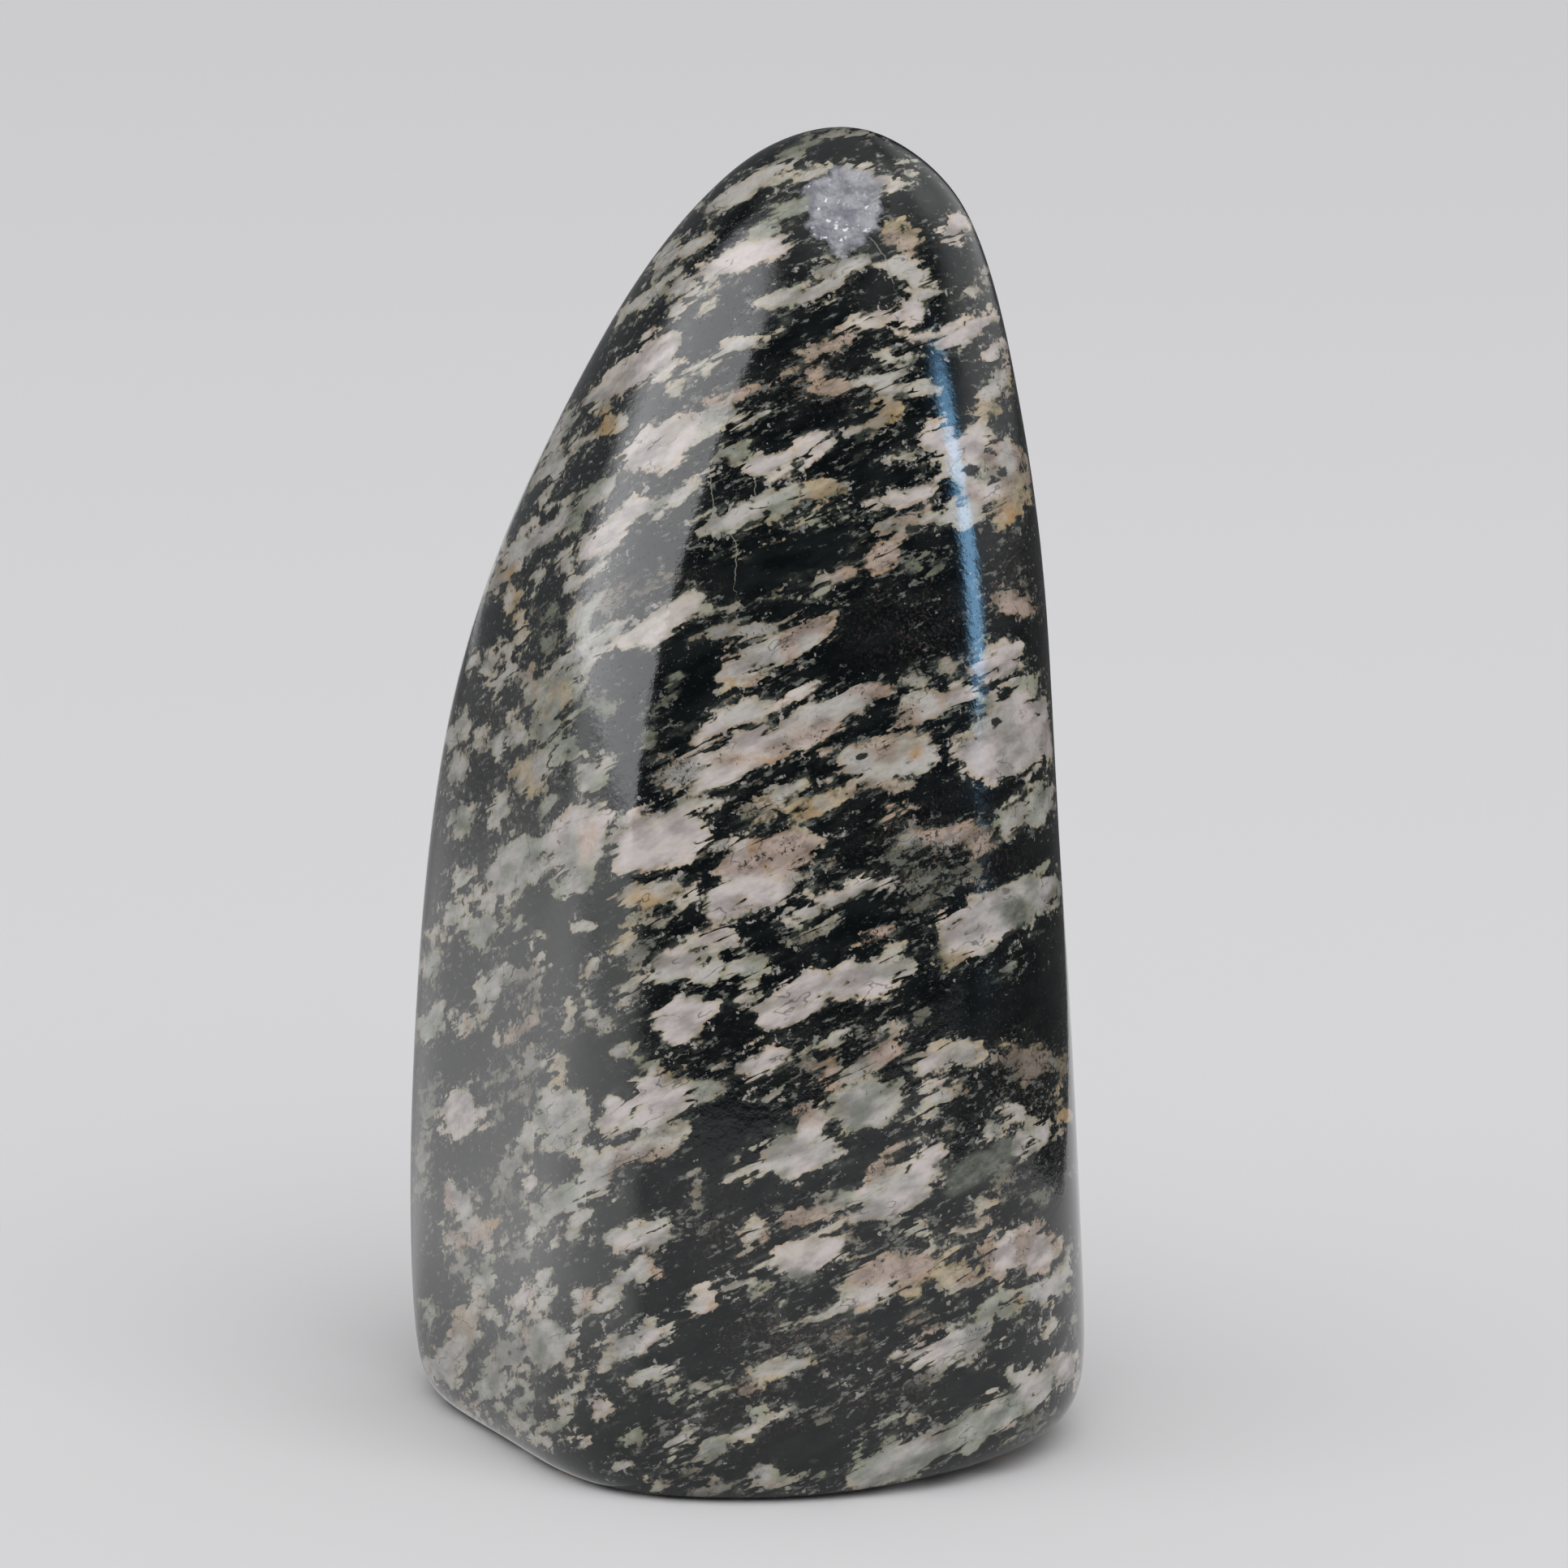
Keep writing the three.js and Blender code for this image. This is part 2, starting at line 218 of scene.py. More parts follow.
MIDDLE_LENSES = (
    Lens(3.5, 69.5, 7.5, 2.4, 18, BROWN, WHITE), Lens(0.5, 67.6, 4.8, 1.7, 15, WHITE, OCHRE),
    Lens(6, 70.8, 5, 2, 25, CREAM), Lens(3.2, 63.8, 3.2, 0.9, 35, CREAM, OCHRE),
    Lens(7, 62.9, 3.4, 1.1, 22, OCHRE, CREAM), Lens(8.6, 65.6, 1.2, 0.5, 30, CREAM),
    Lens(1.2, 62.3, 1.6, 0.9, 0, GREEN, PEPPER), Lens(14.5, 67.6, 5.2, 2.2, 12, CREAM, BROWN),
    Lens(13, 64.9, 3.2, 0.6, 5, BROWN, CREAM), Lens(26, 69, 5.6, 3.4, 15, WHITE, CREAM),
    Lens(28.5, 62.8, 3.8, 1.6, 35, CREAM, GREEN), Lens(15.1, 62.4, 1.4, 0.7, 0, BROWN),
    Lens(20.5, 60, 5, 1.2, 5, BROWN, PEPPER), Lens(22.3, 58.7, 1.6, 0.9, 0, BROWN),
    Lens(15.3, 57.6, 2, 0.9, 10, GREEN, dull=True), Lens(20, 56.3, 4.5, 1, 15, PEPPER, dull=True),
    Lens(18, 53.5, 3, 0.8, 30, PEPPER, dull=True), Lens(3.5, 58.5, 4.2, 2.2, 10, BROWN, WHITE),
    Lens(2, 57.8, 5, 2.4, 20, BROWN, WHITE), Lens(-0.5, 54.3, 4.2, 2.4, 30, WHITE),
    Lens(7.8, 59.2, 1.2, 0.5, 15, WHITE), Lens(-2, 58.3, 1, 0.8, 0, PEPPER),
    Lens(3.5, 54.2, 2.2, 1, 30, PEPPER, WHITE), Lens(9.5, 53.8, 6, 0.9, 24, WHITE, CREAM),
    Lens(12.8, 55.5, 2.2, 0.6, 0, WHITE), Lens(6.3, 55.8, 1, 0.6, 30, CREAM),
    Lens(8, 57, 1.4, 0.4, 35, PEPPER), Lens(7.5, 50.5, 2.5, 0.5, 15, PEPPER),
    Lens(13.7, 50.5, 2.2, 0.6, 10, BROWN, OCHRE), Lens(0.8, 47.2, 2.4, 1.1, 30, CREAM, GREEN),
    Lens(-3, 48, 2.5, 0.7, 30, CREAM, PEPPER), Lens(-2.5, 50.3, 2, 0.8, 15, WHITE, BROWN),
    Lens(25, 52.2, 6.8, 2.6, 22, WHITE, CREAM), Lens(22.3, 51.5, 3.6, 2.2, 22, WHITE),
    Lens(28.5, 54, 4, 2.4, 30, GREEN, CREAM), Lens(5.2, 43.8, 5, 2.4, 35, WHITE),
    Lens(11.5, 45.8, 4.5, 2.2, 5, CREAM, WHITE), Lens(15.5, 47, 2, 1.6, 0, CREAM),
    Lens(20.3, 48, 2.2, 1.5, 10, CREAM, OCHRE), Lens(24, 48.3, 2.5, 0.8, 10, GREEN, WHITE),
    Lens(26, 46.5, 1.4, 0.8, 60, GREEN, dull=True), Lens(1, 44, 2.2, 0.8, 15, CREAM, WHITE),
)

LOWER_LEFT_LENSES = (
    Lens(-28.7, 52.6, 1.6, 0.8, 70, CREAM), Lens(-27, 51.8, 1.5, 0.5, 10, CREAM),
    Lens(-26, 52.7, 1, 0.5, 50, CREAM), Lens(-25.3, 50.8, 2, 1.5, 60, GREEN, CREAM),
    Lens(-23.3, 51.5, 1.2, 0.6, -10, GREEN), Lens(-30, 50.2, 1.2, 0.4, 45, CREAM),
    Lens(-31, 47.8, 1.6, 1, 80, CREAM, GREEN), Lens(-20.3, 50, 1, 0.4, 30, CREAM),
    Lens(-15.8, 51.6, 0.8, 0.6, 0, CREAM), Lens(-15.3, 46.3, 1.6, 0.5, 60, CREAM, BROWN),
    Lens(-25, 44.8, 2.8, 1, 75, CREAM), Lens(-27, 41.8, 1.5, 0.8, 30, CREAM, BROWN),
    Lens(-22.5, 45.8, 2.2, 0.8, 30, CREAM, dull=True), Lens(-20.5, 44, 1.8, 0.4, -70, CREAM, dull=True),
    Lens(-20.7, 47, 0.8, 0.4, 30, CREAM), Lens(-31, 41.5, 2.2, 1, 60, GREEN, CREAM),
    Lens(-17, 42.2, 1.6, 0.35, 60, CREAM), Lens(-15.8, 43.3, 0.7, 0.4, 0, CREAM),
    Lens(-17.7, 39.5, 1.5, 0.15, 80, GREEN), Lens(-21.5, 41.2, 1.6, 0.6, 55, BROWN),
    Lens(-23, 39.9, 1.2, 0.8, 20, CREAM, BROWN), Lens(-21.3, 37.8, 1.2, 0.8, 10, CREAM, dull=True),
    Lens(-18.8, 38.2, 1.1, 0.7, 10, CREAM, OCHRE), Lens(-18.3, 36.4, 1.5, 0.3, 90, OCHRE, CREAM),
    Lens(-18, 32, 3.4, 2.6, 90, CREAM, GREEN), Lens(-20.5, 30.8, 2.2, 0.6, 45, CREAM),
    Lens(-21.3, 35, 1.6, 0.6, 60, CREAM, dull=True), Lens(-24, 33.8, 1.6, 0.4, 65, CREAM, dull=True),
    Lens(-24.3, 36.3, 0.9, 0.4, 50, CREAM, dull=True), Lens(-28, 32.8, 2.4, 2, 60, WHITE),
    Lens(-31, 34, 1.4, 0.5, 80, GREEN, dull=True), Lens(-31.8, 29, 1.6, 0.6, 80, CREAM, dull=True),
    Lens(-14.2, 42, 1.8, 0.7, -25, CREAM, PEPPER), Lens(-12, 43.7, 2.2, 0.6, 50, CREAM, PEPPER),
    Lens(-10.5, 44.8, 2, 0.9, 40, PEPPER, CREAM), Lens(-6.5, 47.3, 3.8, 1.6, 20, WHITE, CREAM),
    Lens(-3, 47, 2.5, 0.7, 25, CREAM), Lens(-12, 49.8, 1.6, 0.8, 45, OCHRE, CREAM),
    Lens(-10.5, 48.5, 1.2, 0.8, 20, PEPPER, dull=True), Lens(-5.8, 42.3, 3.6, 2, 10, WHITE),
    Lens(-6, 40.2, 1.8, 0.9, 0, WHITE), Lens(-11.8, 38.8, 0.9, 0.7, 0, GREEN, PEPPER),
    Lens(-10.8, 37.3, 1.3, 0.6, 20, GREEN, PEPPER), Lens(-8.5, 38, 0.8, 0.6, 0, GREEN, PEPPER),
    Lens(-8, 33.8, 3.8, 2.4, 20, WHITE), Lens(-6.5, 36.3, 1.6, 0.7, 20, BROWN, OCHRE),
    Lens(-4, 35, 2.2, 1.4, 20, PEPPER, GREEN), Lens(-8, 31.2, 3, 1, 15, CREAM),
    Lens(-12.8, 32, 2.2, 1.6, 40, CREAM, WHITE), Lens(-11, 28.6, 4.8, 1.2, 12, CREAM, BROWN),
    Lens(-14.6, 27, 1.6, 1.8, 60, CREAM), Lens(-7.5, 52, 2.6, 0.6, 28, CREAM, PEPPER),
    Lens(-6, 53.8, 1.8, 0.4, 45, WHITE), Lens(-11, 51.8, 1, 0.3, 10, PEPPER),
    Lens(-3, 49.8, 2.6, 0.8, 10, CREAM, WHITE),
)

LOWER_RIGHT_LENSES = (
    Lens(2, 38, 3, 1.3, 22, WHITE), Lens(-1.5, 36.8, 2.4, 0.8, 15, PEPPER, WHITE),
    Lens(1, 34.8, 0.5, 0.4, 0, WHITE), Lens(7.5, 37.2, 3.5, 0.9, -5, BROWN, PEPPER),
    Lens(13, 38, 3, 1.3, 20, BROWN, PEPPER), Lens(9.8, 40, 2.8, 0.6, 25, GREEN, CREAM),
    Lens(13.8, 41.7, 0.8, 0.7, 40, PEPPER), Lens(15.2, 41.3, 0.7, 0.6, 30, CREAM),
    Lens(17.5, 42.2, 1, 0.5, 10, PEPPER, dull=True), Lens(20, 38, 3.8, 1.6, 5, CREAM, WHITE),
    Lens(23, 39.2, 1, 0.5, 0, OCHRE, BROWN), Lens(28.5, 37.5, 2, 1.8, 30, BROWN, dull=True),
    Lens(27.5, 39.3, 1.4, 0.5, 0, OCHRE, BROWN), Lens(31.5, 37.5, 1, 1, 0, CREAM, OCHRE, dull=True),
    Lens(3.5, 34.5, 1.6, 1, 30, GREEN, CREAM), Lens(8.5, 35.5, 1, 0.5, 0, BROWN),
    Lens(12, 33.5, 4, 2.8, 10, GREEN, CREAM), Lens(15.8, 34.7, 1.6, 1.2, 0, PEPPER, CREAM),
    Lens(13.8, 32, 1.2, 0.8, 0, BROWN), Lens(5.5, 28.6, 4.6, 2.4, 12, CREAM, WHITE),
    Lens(6.8, 31.8, 1.8, 1.8, 60, WHITE, BROWN), Lens(-0.5, 27, 1.4, 0.8, 20, CREAM, GREEN),
    Lens(9, 24.5, 1.6, 0.8, 30, PEPPER, GREEN), Lens(14.5, 24.2, 4.6, 2.6, 30, CREAM, WHITE),
    Lens(18.3, 28, 2.6, 1.8, 50, WHITE), Lens(14, 27.5, 2.6, 0.8, 45, BROWN),
    Lens(17, 21.5, 1.5, 0.8, 10, CREAM), Lens(25.5, 31.8, 3, 1.2, 30, CREAM, PEPPER),
    Lens(29, 30.5, 2.6, 1.4, 10, CREAM, WHITE), Lens(28.5, 28.3, 0.8, 0.5, 30, WHITE),
    Lens(19.3, 34, 2.4, 0.5, 40, CREAM, PEPPER), Lens(17.8, 35, 1, 0.8, 0, CREAM),
    Lens(22, 35.2, 2.4, 0.6, 15, BROWN, dull=True), Lens(31, 34.3, 0.9, 0.9, 0, CREAM, OCHRE),
    Lens(31.8, 32.5, 0.6, 0.8, 0, OCHRE), Lens(20.5, 30.8, 0.8, 0.6, 0, PEPPER),
    Lens(16, 31, 0.7, 0.3, 30, PEPPER), Lens(6.5, 22.3, 4, 1, 5, BROWN, CREAM),
    Lens(1.5, 20.8, 1.6, 1, 10, BROWN, CREAM), Lens(0, 19, 1.5, 0.5, 50, CREAM),
    Lens(24, 24.3, 2.4, 0.6, 25, CREAM, OCHRE), Lens(26, 26.5, 1.6, 0.9, 20, PEPPER, dull=True),
    Lens(29, 24, 1.4, 0.7, 30, PEPPER, dull=True), Lens(22.8, 21.5, 2.8, 0.7, 15, BROWN, CREAM),
    Lens(19, 20, 0.8, 0.4, 0, CREAM), Lens(16.3, 20, 0.8, 0.5, 0, PEPPER),
    Lens(11, 20, 1.2, 0.7, 10, PEPPER), Lens(32.5, 27, 1, 0.8, 20, CREAM, dull=True),
)

FOOT_LEFT_LENSES = (
    Lens(-23, 27, 2.4, 0.8, 50, CREAM, dull=True), Lens(-21, 26, 1, 0.6, 60, WHITE),
    Lens(-31.7, 25.2, 0.8, 0.6, 0, CREAM, dull=True), Lens(-27.8, 23.7, 2.6, 1.3, 120, CREAM, BROWN),
    Lens(-27, 20.5, 2.8, 0.8, 0, CREAM, BROWN), Lens(-25, 21.7, 1.3, 0.9, 60, OCHRE, BROWN),
    Lens(-22.8, 24, 1.6, 0.6, 30, GREEN, dull=True), Lens(-18.7, 23.8, 2.6, 1.6, 20, GREEN, CREAM),
    Lens(-19.3, 23.5, 1.8, 0.5, 80, CREAM), Lens(-20.5, 21.3, 1.6, 0.6, 70, CREAM),
    Lens(-16, 23, 2.6, 0.6, 80, CREAM), Lens(-17.5, 20.8, 1.2, 0.6, 20, GREEN, CREAM),
    Lens(-15, 20.5, 1.4, 0.4, -70, CREAM), Lens(-14, 25.8, 1.6, 1.4, 40, CREAM, GREEN),
    Lens(-22.2, 19, 0.9, 0.6, 0, CREAM, dull=True), Lens(-25.5, 16.8, 2, 0.8, 80, GREEN, CREAM),
    Lens(-28, 17.2, 0.9, 0.6, 0, CREAM, dull=True), Lens(-27, 12.5, 3.2, 1.2, 80, CREAM, OCHRE),
    Lens(-29, 8.5, 3, 1.5, 40, CREAM), Lens(-24.5, 12.5, 2.6, 0.45, -40, CREAM, GREEN),
    Lens(-21.5, 14, 1.8, 1.1, 60, WHITE), Lens(-19.6, 15.3, 1.6, 0.6, 80, GREEN, CREAM),
    Lens(-21.5, 10, 2.6, 0.6, 85, CREAM, BROWN), Lens(-19.2, 9.5, 2.8, 2, 80, GREEN, CREAM),
    Lens(-16.8, 10, 2.4, 0.5, 80, CREAM), Lens(-22.8, 9, 1.8, 1.2, 10, CREAM, dull=True),
    Lens(-25, 6, 2.2, 1.7, 60, CREAM, GREEN), Lens(-21.3, 4, 2.2, 0.6, 100, CREAM, GREEN),
    Lens(-19.7, 0.3, 0.5, 0.5, 0, CREAM), Lens(-17.3, 5, 0.9, 0.5, 60, CREAM),
    Lens(-17.3, 3, 0.5, 0.3, 80, CREAM), Lens(-16.2, 6.3, 1.2, 0.3, 40, CREAM),
    Lens(-13.6, 7.7, 0.8, 0.6, 50, OCHRE, CREAM), Lens(-10.3, 20.3, 3.6, 1.3, 5, CREAM, WHITE),
    Lens(-11.5, 16.3, 3.4, 1.3, 25, BROWN, CREAM), Lens(-13.5, 14, 1.4, 1.2, 60, CREAM),
    Lens(-15.8, 14, 1.2, 0.9, 30, BROWN, CREAM), Lens(-3.9, 14, 2, 1, 40, WHITE, CREAM),
    Lens(-7, 12, 1, 0.5, 30, CREAM), Lens(-10.5, 10.3, 3.4, 1.4, 15, WHITE, CREAM),
    Lens(-13.8, 8.8, 0.8, 0.6, 60, CREAM), Lens(-9, 6.6, 2.6, 0.9, 10, CREAM),
    Lens(-2.8, 5.5, 2.2, 0.8, 0, CREAM, GREEN), Lens(-6, 4.5, 0.6, 0.5, 0, GREEN),
    Lens(-13.7, 3.3, 1.1, 0.9, 0, WHITE), Lens(-12, 3.4, 0.8, 0.25, 0, OCHRE),
    Lens(-10.2, -0.3, 0.8, 0.6, 80, CREAM, dull=True), Lens(-6, 0.3, 2.2, 0.45, 35, CREAM, WHITE),
    Lens(-3, -0.8, 2.6, 1.1, 28, CREAM, GREEN), Lens(0.3, 0.9, 2, 0.8, 35, CREAM),
    Lens(3.5, 3.2, 2.8, 0.7, 12, GREEN, CREAM), Lens(-7.5, -4, 1.8, 0.4, -10, CREAM, GREEN),
    Lens(-5.5, -3, 1.4, 0.8, 0, GREEN, BROWN, dull=True), Lens(-3, -4.7, 3, 0.4, 0, CREAM, dull=True),
    Lens(-4.2, 26, 1, 1.2, 0, CREAM, PEPPER), Lens(-4.5, 24, 0.8, 1.3, 0, CREAM, PEPPER),
    Lens(-3.5, 21.5, 1.3, 0.8, 0, PEPPER, dull=True),
)

FOOT_RIGHT_LENSES = (
    Lens(6.2, 18.3, 4, 2.2, 20, WHITE), Lens(0, 16, 3, 0.8, 25, CREAM, WHITE),
    Lens(2, 15, 1.6, 0.5, 20, GREEN, CREAM), Lens(14.5, 16.8, 4.4, 1.7, 8, BROWN),
    Lens(12, 14.5, 3.6, 1.3, 20, CREAM, WHITE), Lens(7.8, 12.8, 2, 0.5, 15, GREEN, CREAM),
    Lens(16.8, 14.6, 1.6, 0.5, 15, OCHRE), Lens(21.3, 17, 3, 1.6, 10, BROWN, OCHRE),
    Lens(21, 15.5, 1.8, 0.5, 10, CREAM), Lens(27.5, 18.8, 4.5, 2.4, 15, WHITE, BROWN),
    Lens(32, 19, 1.6, 0.5, 45, CREAM, OCHRE), Lens(27.5, 14, 5, 1.2, 15, GREEN, CREAM),
    Lens(24.5, 13.2, 2.4, 1.1, 15, GREEN), Lens(31, 15.8, 2, 0.8, 40, CREAM),
    Lens(31, 11.8, 2.4, 0.6, 15, PEPPER, CREAM), Lens(16.5, 8.7, 3, 0.9, 15, WHITE),
    Lens(19, 9.2, 5.2, 1.3, 12, WHITE, CREAM), Lens(22.3, 10, 3.4, 1.8, 20, PEPPER, CREAM),
    Lens(17.3, 6.2, 2.6, 0.7, 20, PEPPER, CREAM, dull=True), Lens(13.2, 5.3, 1, 0.4, 15, CREAM),
    Lens(11.3, 4.7, 0.5, 0.3, 20, CREAM), Lens(9.7, 6, 0.5, 0.4, 60, CREAM),
    Lens(3.5, 7.3, 3.6, 0.9, 15, CREAM, OCHRE), Lens(1, 8.5, 1, 0.7, 30, GREEN, OCHRE),
    Lens(0.5, 5.5, 1, 0.8, 0, BROWN, dull=True), Lens(4, 12, 0.7, 0.6, 0, GREEN),
    Lens(10.5, 10.5, 1.8, 0.6, 20, BROWN, dull=True), Lens(18, 12, 1.6, 0.7, 10, BROWN, dull=True),
    Lens(8, 2.8, 0.6, 0.5, 0, PEPPER, dull=True), Lens(18.5, 3.2, 2.6, 0.35, 30, PEPPER, GREEN),
    Lens(13.5, -2, 3.6, 1.9, 40, CREAM, GREEN), Lens(16, -1.5, 6, 2.2, 25, CREAM, GREEN),
    Lens(19, 0.3, 3, 1.5, 25, PEPPER, GREEN), Lens(24.5, 2.5, 5, 2.2, 30, CREAM, GREEN),
    Lens(29, 5.5, 3.4, 1.8, 35, WHITE, CREAM), Lens(32, 7.5, 2, 1.8, 60, WHITE, CREAM),
    Lens(27, 7, 1.8, 0.9, 30, CREAM), Lens(11.5, -0.5, 3, 0.25, 50, GREEN),
    Lens(7.5, -3.3, 0.8, 0.4, 0, GREEN, dull=True), Lens(1.5, -3.4, 1.2, 0.8, 0, PEPPER, CREAM),
    Lens(4.5, -4.2, 3, 0.5, -5, CREAM, BROWN), Lens(29, 2, 2.5, 0.8, 25, GREEN, dull=True),
)

# Scraps of lenses along the lower edge.
FOOT_EDGE_LENSES = (
    Lens(-27.9, 10.3, 3.2, 1.2, 72, CREAM, BROWN), Lens(-24.7, 5.5, 2.0, 1.2, 30, GREEN, CREAM),
    Lens(-21.8, 3.7, 1.6, 0.8, 30, GREEN), Lens(-13.7, 3.3, 1.2, 0.6, 10, WHITE),
    Lens(-29.6, 6.9, 1.6, 0.8, -40, CREAM), Lens(-18.2, 1.4, 1.5, 0.6, 20, CREAM, GREEN),
    Lens(-26.9, 3.2, 1.3, 0.6, -25, CREAM, BROWN), Lens(-10.2, 0.4, 1.7, 0.6, 15, GREEN),
    Lens(-15.4, 0.2, 1.0, 0.4, 0, WHITE), Lens(-22.3, 1.3, 1.1, 0.5, -20, CREAM),
    Lens(-6.1, -2.0, 1.8, 0.6, 15, CREAM, GREEN), Lens(4.9, -3.4, 2.5, 0.6, 5, GREEN),
    Lens(-31.2, 12.6, 1.1, 0.6, 60, GREEN), Lens(-11.8, -2.6, 1.2, 0.4, 10, CREAM),
)

SEEN_LENSES = (
    TIP_LENSES + UPPER_LEFT_LENSES + UPPER_LENSES + MIDDLE_LEFT_LENSES + MIDDLE_LENSES
    + LOWER_LEFT_LENSES + LOWER_RIGHT_LENSES + FOOT_LEFT_LENSES + FOOT_RIGHT_LENSES + FOOT_EDGE_LENSES
)

# Slivers of the dark rock caught inside pale lenses.
DARK_SLIVERS = (
    Patch(3.3, 120.4, 0.7, 0.2, 20), Patch(2, 90.3, 1.6, 0.35, 12), Patch(7, 91.9, 2.2, 0.35, 12),
    Patch(2.4, 92, 0.35, 0.25, 0), Patch(-8.7, 62.9, 1.4, 0.4, 10), Patch(-9.3, 56.2, 0.9, 0.2, 10),
    Patch(-3.5, 62.6, 1, 0.4, 20), Patch(-0.1, 76.9, 0.45, 0.35, 0), Patch(25, 71.3, 0.6, 0.6, 0),
    Patch(22.5, 96.3, 0.8, 0.7, 0), Patch(25.6, 96.1, 0.6, 0.6, 0), Patch(21.5, 93.2, 0.7, 0.5, 0),
    Patch(11.8, 68, 0.8, 0.4, 20), Patch(15.1, 65.8, 0.5, 0.3, 15), Patch(18.6, 67.2, 0.4, 0.3, 0),
    Patch(26.5, 50.3, 1.2, 0.5, 0), Patch(30, 50.5, 0.6, 0.4, 20), Patch(10.5, 47.7, 0.6, 0.3, 0),
    Patch(11.5, 46.9, 0.5, 0.3, -20), Patch(13.9, 44.6, 0.7, 0.3, 10), Patch(-16.6, 32.8, 0.5, 0.3, 20),
    Patch(-10.8, 30.8, 1.3, 0.3, 35), Patch(-9.3, 31.2, 0.6, 0.25, 40), Patch(8, 34, 0.9, 0.3, 0),
    Patch(-10, 10.4, 0.3, 0.2, 0), Patch(-12.3, 9.6, 0.4, 0.4, 0), Patch(3, 17.2, 0.5, 0.2, 15),
    Patch(13.7, -0.8, 0.35, 0.35, 0), Patch(7.7, 20.7, 0.7, 0.25, -10), Patch(-16, 23.3, 0.6, 0.4, 0),
    Patch(-27.5, 56, 0.5, 0.45, 0), Patch(-17, 86.3, 0.25, 0.25, 0),
)

# Places where iron has stained the pale mineral ochre.
STAINS = (
    Spot(-13.7, 100.7, 1.2, 1.2, 0.9), Spot(-23, 86, 1, 1, 0.8), Spot(8, 93.4, 2.4, 0.9, 0.5),
    Spot(3.5, 90.3, 2.2, 0.5, 0.5), Spot(14, 101.6, 2, 1.3, 0.5), Spot(26.5, 91.8, 1.2, 1, 1),
    Spot(-1.5, 75, 1.1, 0.9, 0.9), Spot(19.5, 72.3, 1.5, 1, 0.5), Spot(-15.3, 60, 1, 2.2, 0.6),
    Spot(-10, 53.8, 1.6, 0.8, 0.7), Spot(3, 67.7, 3.6, 0.9, 0.6), Spot(17, 68.2, 1, 0.7, 1),
    Spot(6.8, 62.7, 2, 0.8, 0.8), Spot(1, 59.2, 0.6, 0.6, 0.8), Spot(2.5, 56.4, 0.6, 0.6, 0.7),
    Spot(9, 47.5, 0.7, 0.6, 0.6), Spot(17.3, 48.5, 0.8, 0.6, 0.7), Spot(18.5, 46, 0.8, 0.7, 0.7),
    Spot(19.5, 39.8, 2, 0.6, 0.6), Spot(31.5, 29.5, 0.9, 1.2, 0.8), Spot(31.8, 32.5, 0.7, 0.9, 1),
    Spot(18, 22.7, 0.7, 0.7, 1), Spot(-27, 12, 0.8, 1.6, 0.7), Spot(-3, 13.6, 0.6, 0.6, 0.9),
    Spot(13.7, 13.2, 0.9, 0.7, 1), Spot(11.8, 13.2, 0.6, 0.5, 0.8), Spot(18.6, 16, 1.2, 0.7, 0.5),
    Spot(27.3, 14.2, 0.9, 0.6, 0.9), Spot(23.5, 8, 1, 0.7, 0.5), Spot(-22.3, 82.8, 1, 2, 0.5),
    Spot(-18.4, 36.4, 0.5, 1.6, 0.6), Spot(8, 38, 2, 0.8, 0.45), Spot(8.5, 35.5, 0.9, 0.5, 0.6),
    Spot(20, 76.5, 1.2, 0.8, 0.35), Spot(-4.8, 113, 0.7, 0.8, 0.5), Spot(-25, 21.7, 1.1, 0.8, 0.6),
)

# Stretches of the dark rock that hold fine brown and pale grains.
GRAINY_ROCK = (
    Spot(5, 10.5, 8, 3, 0.9), Spot(17, 81, 6, 4.5, 0.7), Spot(19.5, 59, 8, 4, 0.9),
    Spot(12, 41, 6, 3, 0.5), Spot(27, 37, 5, 4, 0.7), Spot(10, 36, 7, 3, 0.6),
    Spot(20, 19, 9, 3, 0.6), Spot(27, 87, 3, 4, 0.6), Spot(-8, 84, 8, 3, 0.4),
    Spot(8, 105, 8, 3, 0.6), Spot(0, 3, 9, 5, 0.5), Spot(14, 4, 7, 3.5, 0.6),
    Spot(-3, 22, 4, 6, 0.5), Spot(24, 27, 6, 3, 0.4), Spot(5, 64, 8, 2, 0.5),
)

# Stretches of the dark rock that are clean.
CLEAN_ROCK = (
    Spot(3, 86, 6, 2.2), Spot(27, 42.5, 7, 3), Spot(1, 41.5, 3.4, 1.8), Spot(-13.5, 38, 4, 3.4),
    Spot(0, 29, 4.5, 4.5), Spot(31, 23.5, 2.6, 3.4), Spot(-18, 51.5, 6.5, 3), Spot(4, -0.8, 5, 2.4),
    Spot(24, 64, 7, 1.2), Spot(26.5, 58, 5, 1.2), Spot(-16.5, 1.5, 4, 1.8), Spot(13, 79.5, 5, 3),
    Spot(-4, 77, 4, 3), Spot(22.5, 5.5, 4, 1.6), Spot(12.5, 29, 4, 1.2), Spot(-2.5, 109, 4, 2.4),
)

# Smooth, darker grey-green patches, and the coarse crystal patch near the tip.
GREEN_PATCHES = (
    Patch(23, 27, 4.2, 1.6, 35), Patch(26.5, 29.2, 2, 1, 20), Patch(25.5, 3, 1.2, 0.8, 30),
    Patch(4, 30.5, 1.5, 1, 0), Patch(5.8, 16.3, 2, 0.9, 10), Patch(-8.5, 48, 1, 0.7, 10),
    Patch(27, 52.6, 1.6, 1.8, 80), Patch(19.5, 27.2, 1.2, 1, 40),
)
CRYSTAL_PATCH = Patch(10.3, 122.0, 4.9, 4.2, 70)

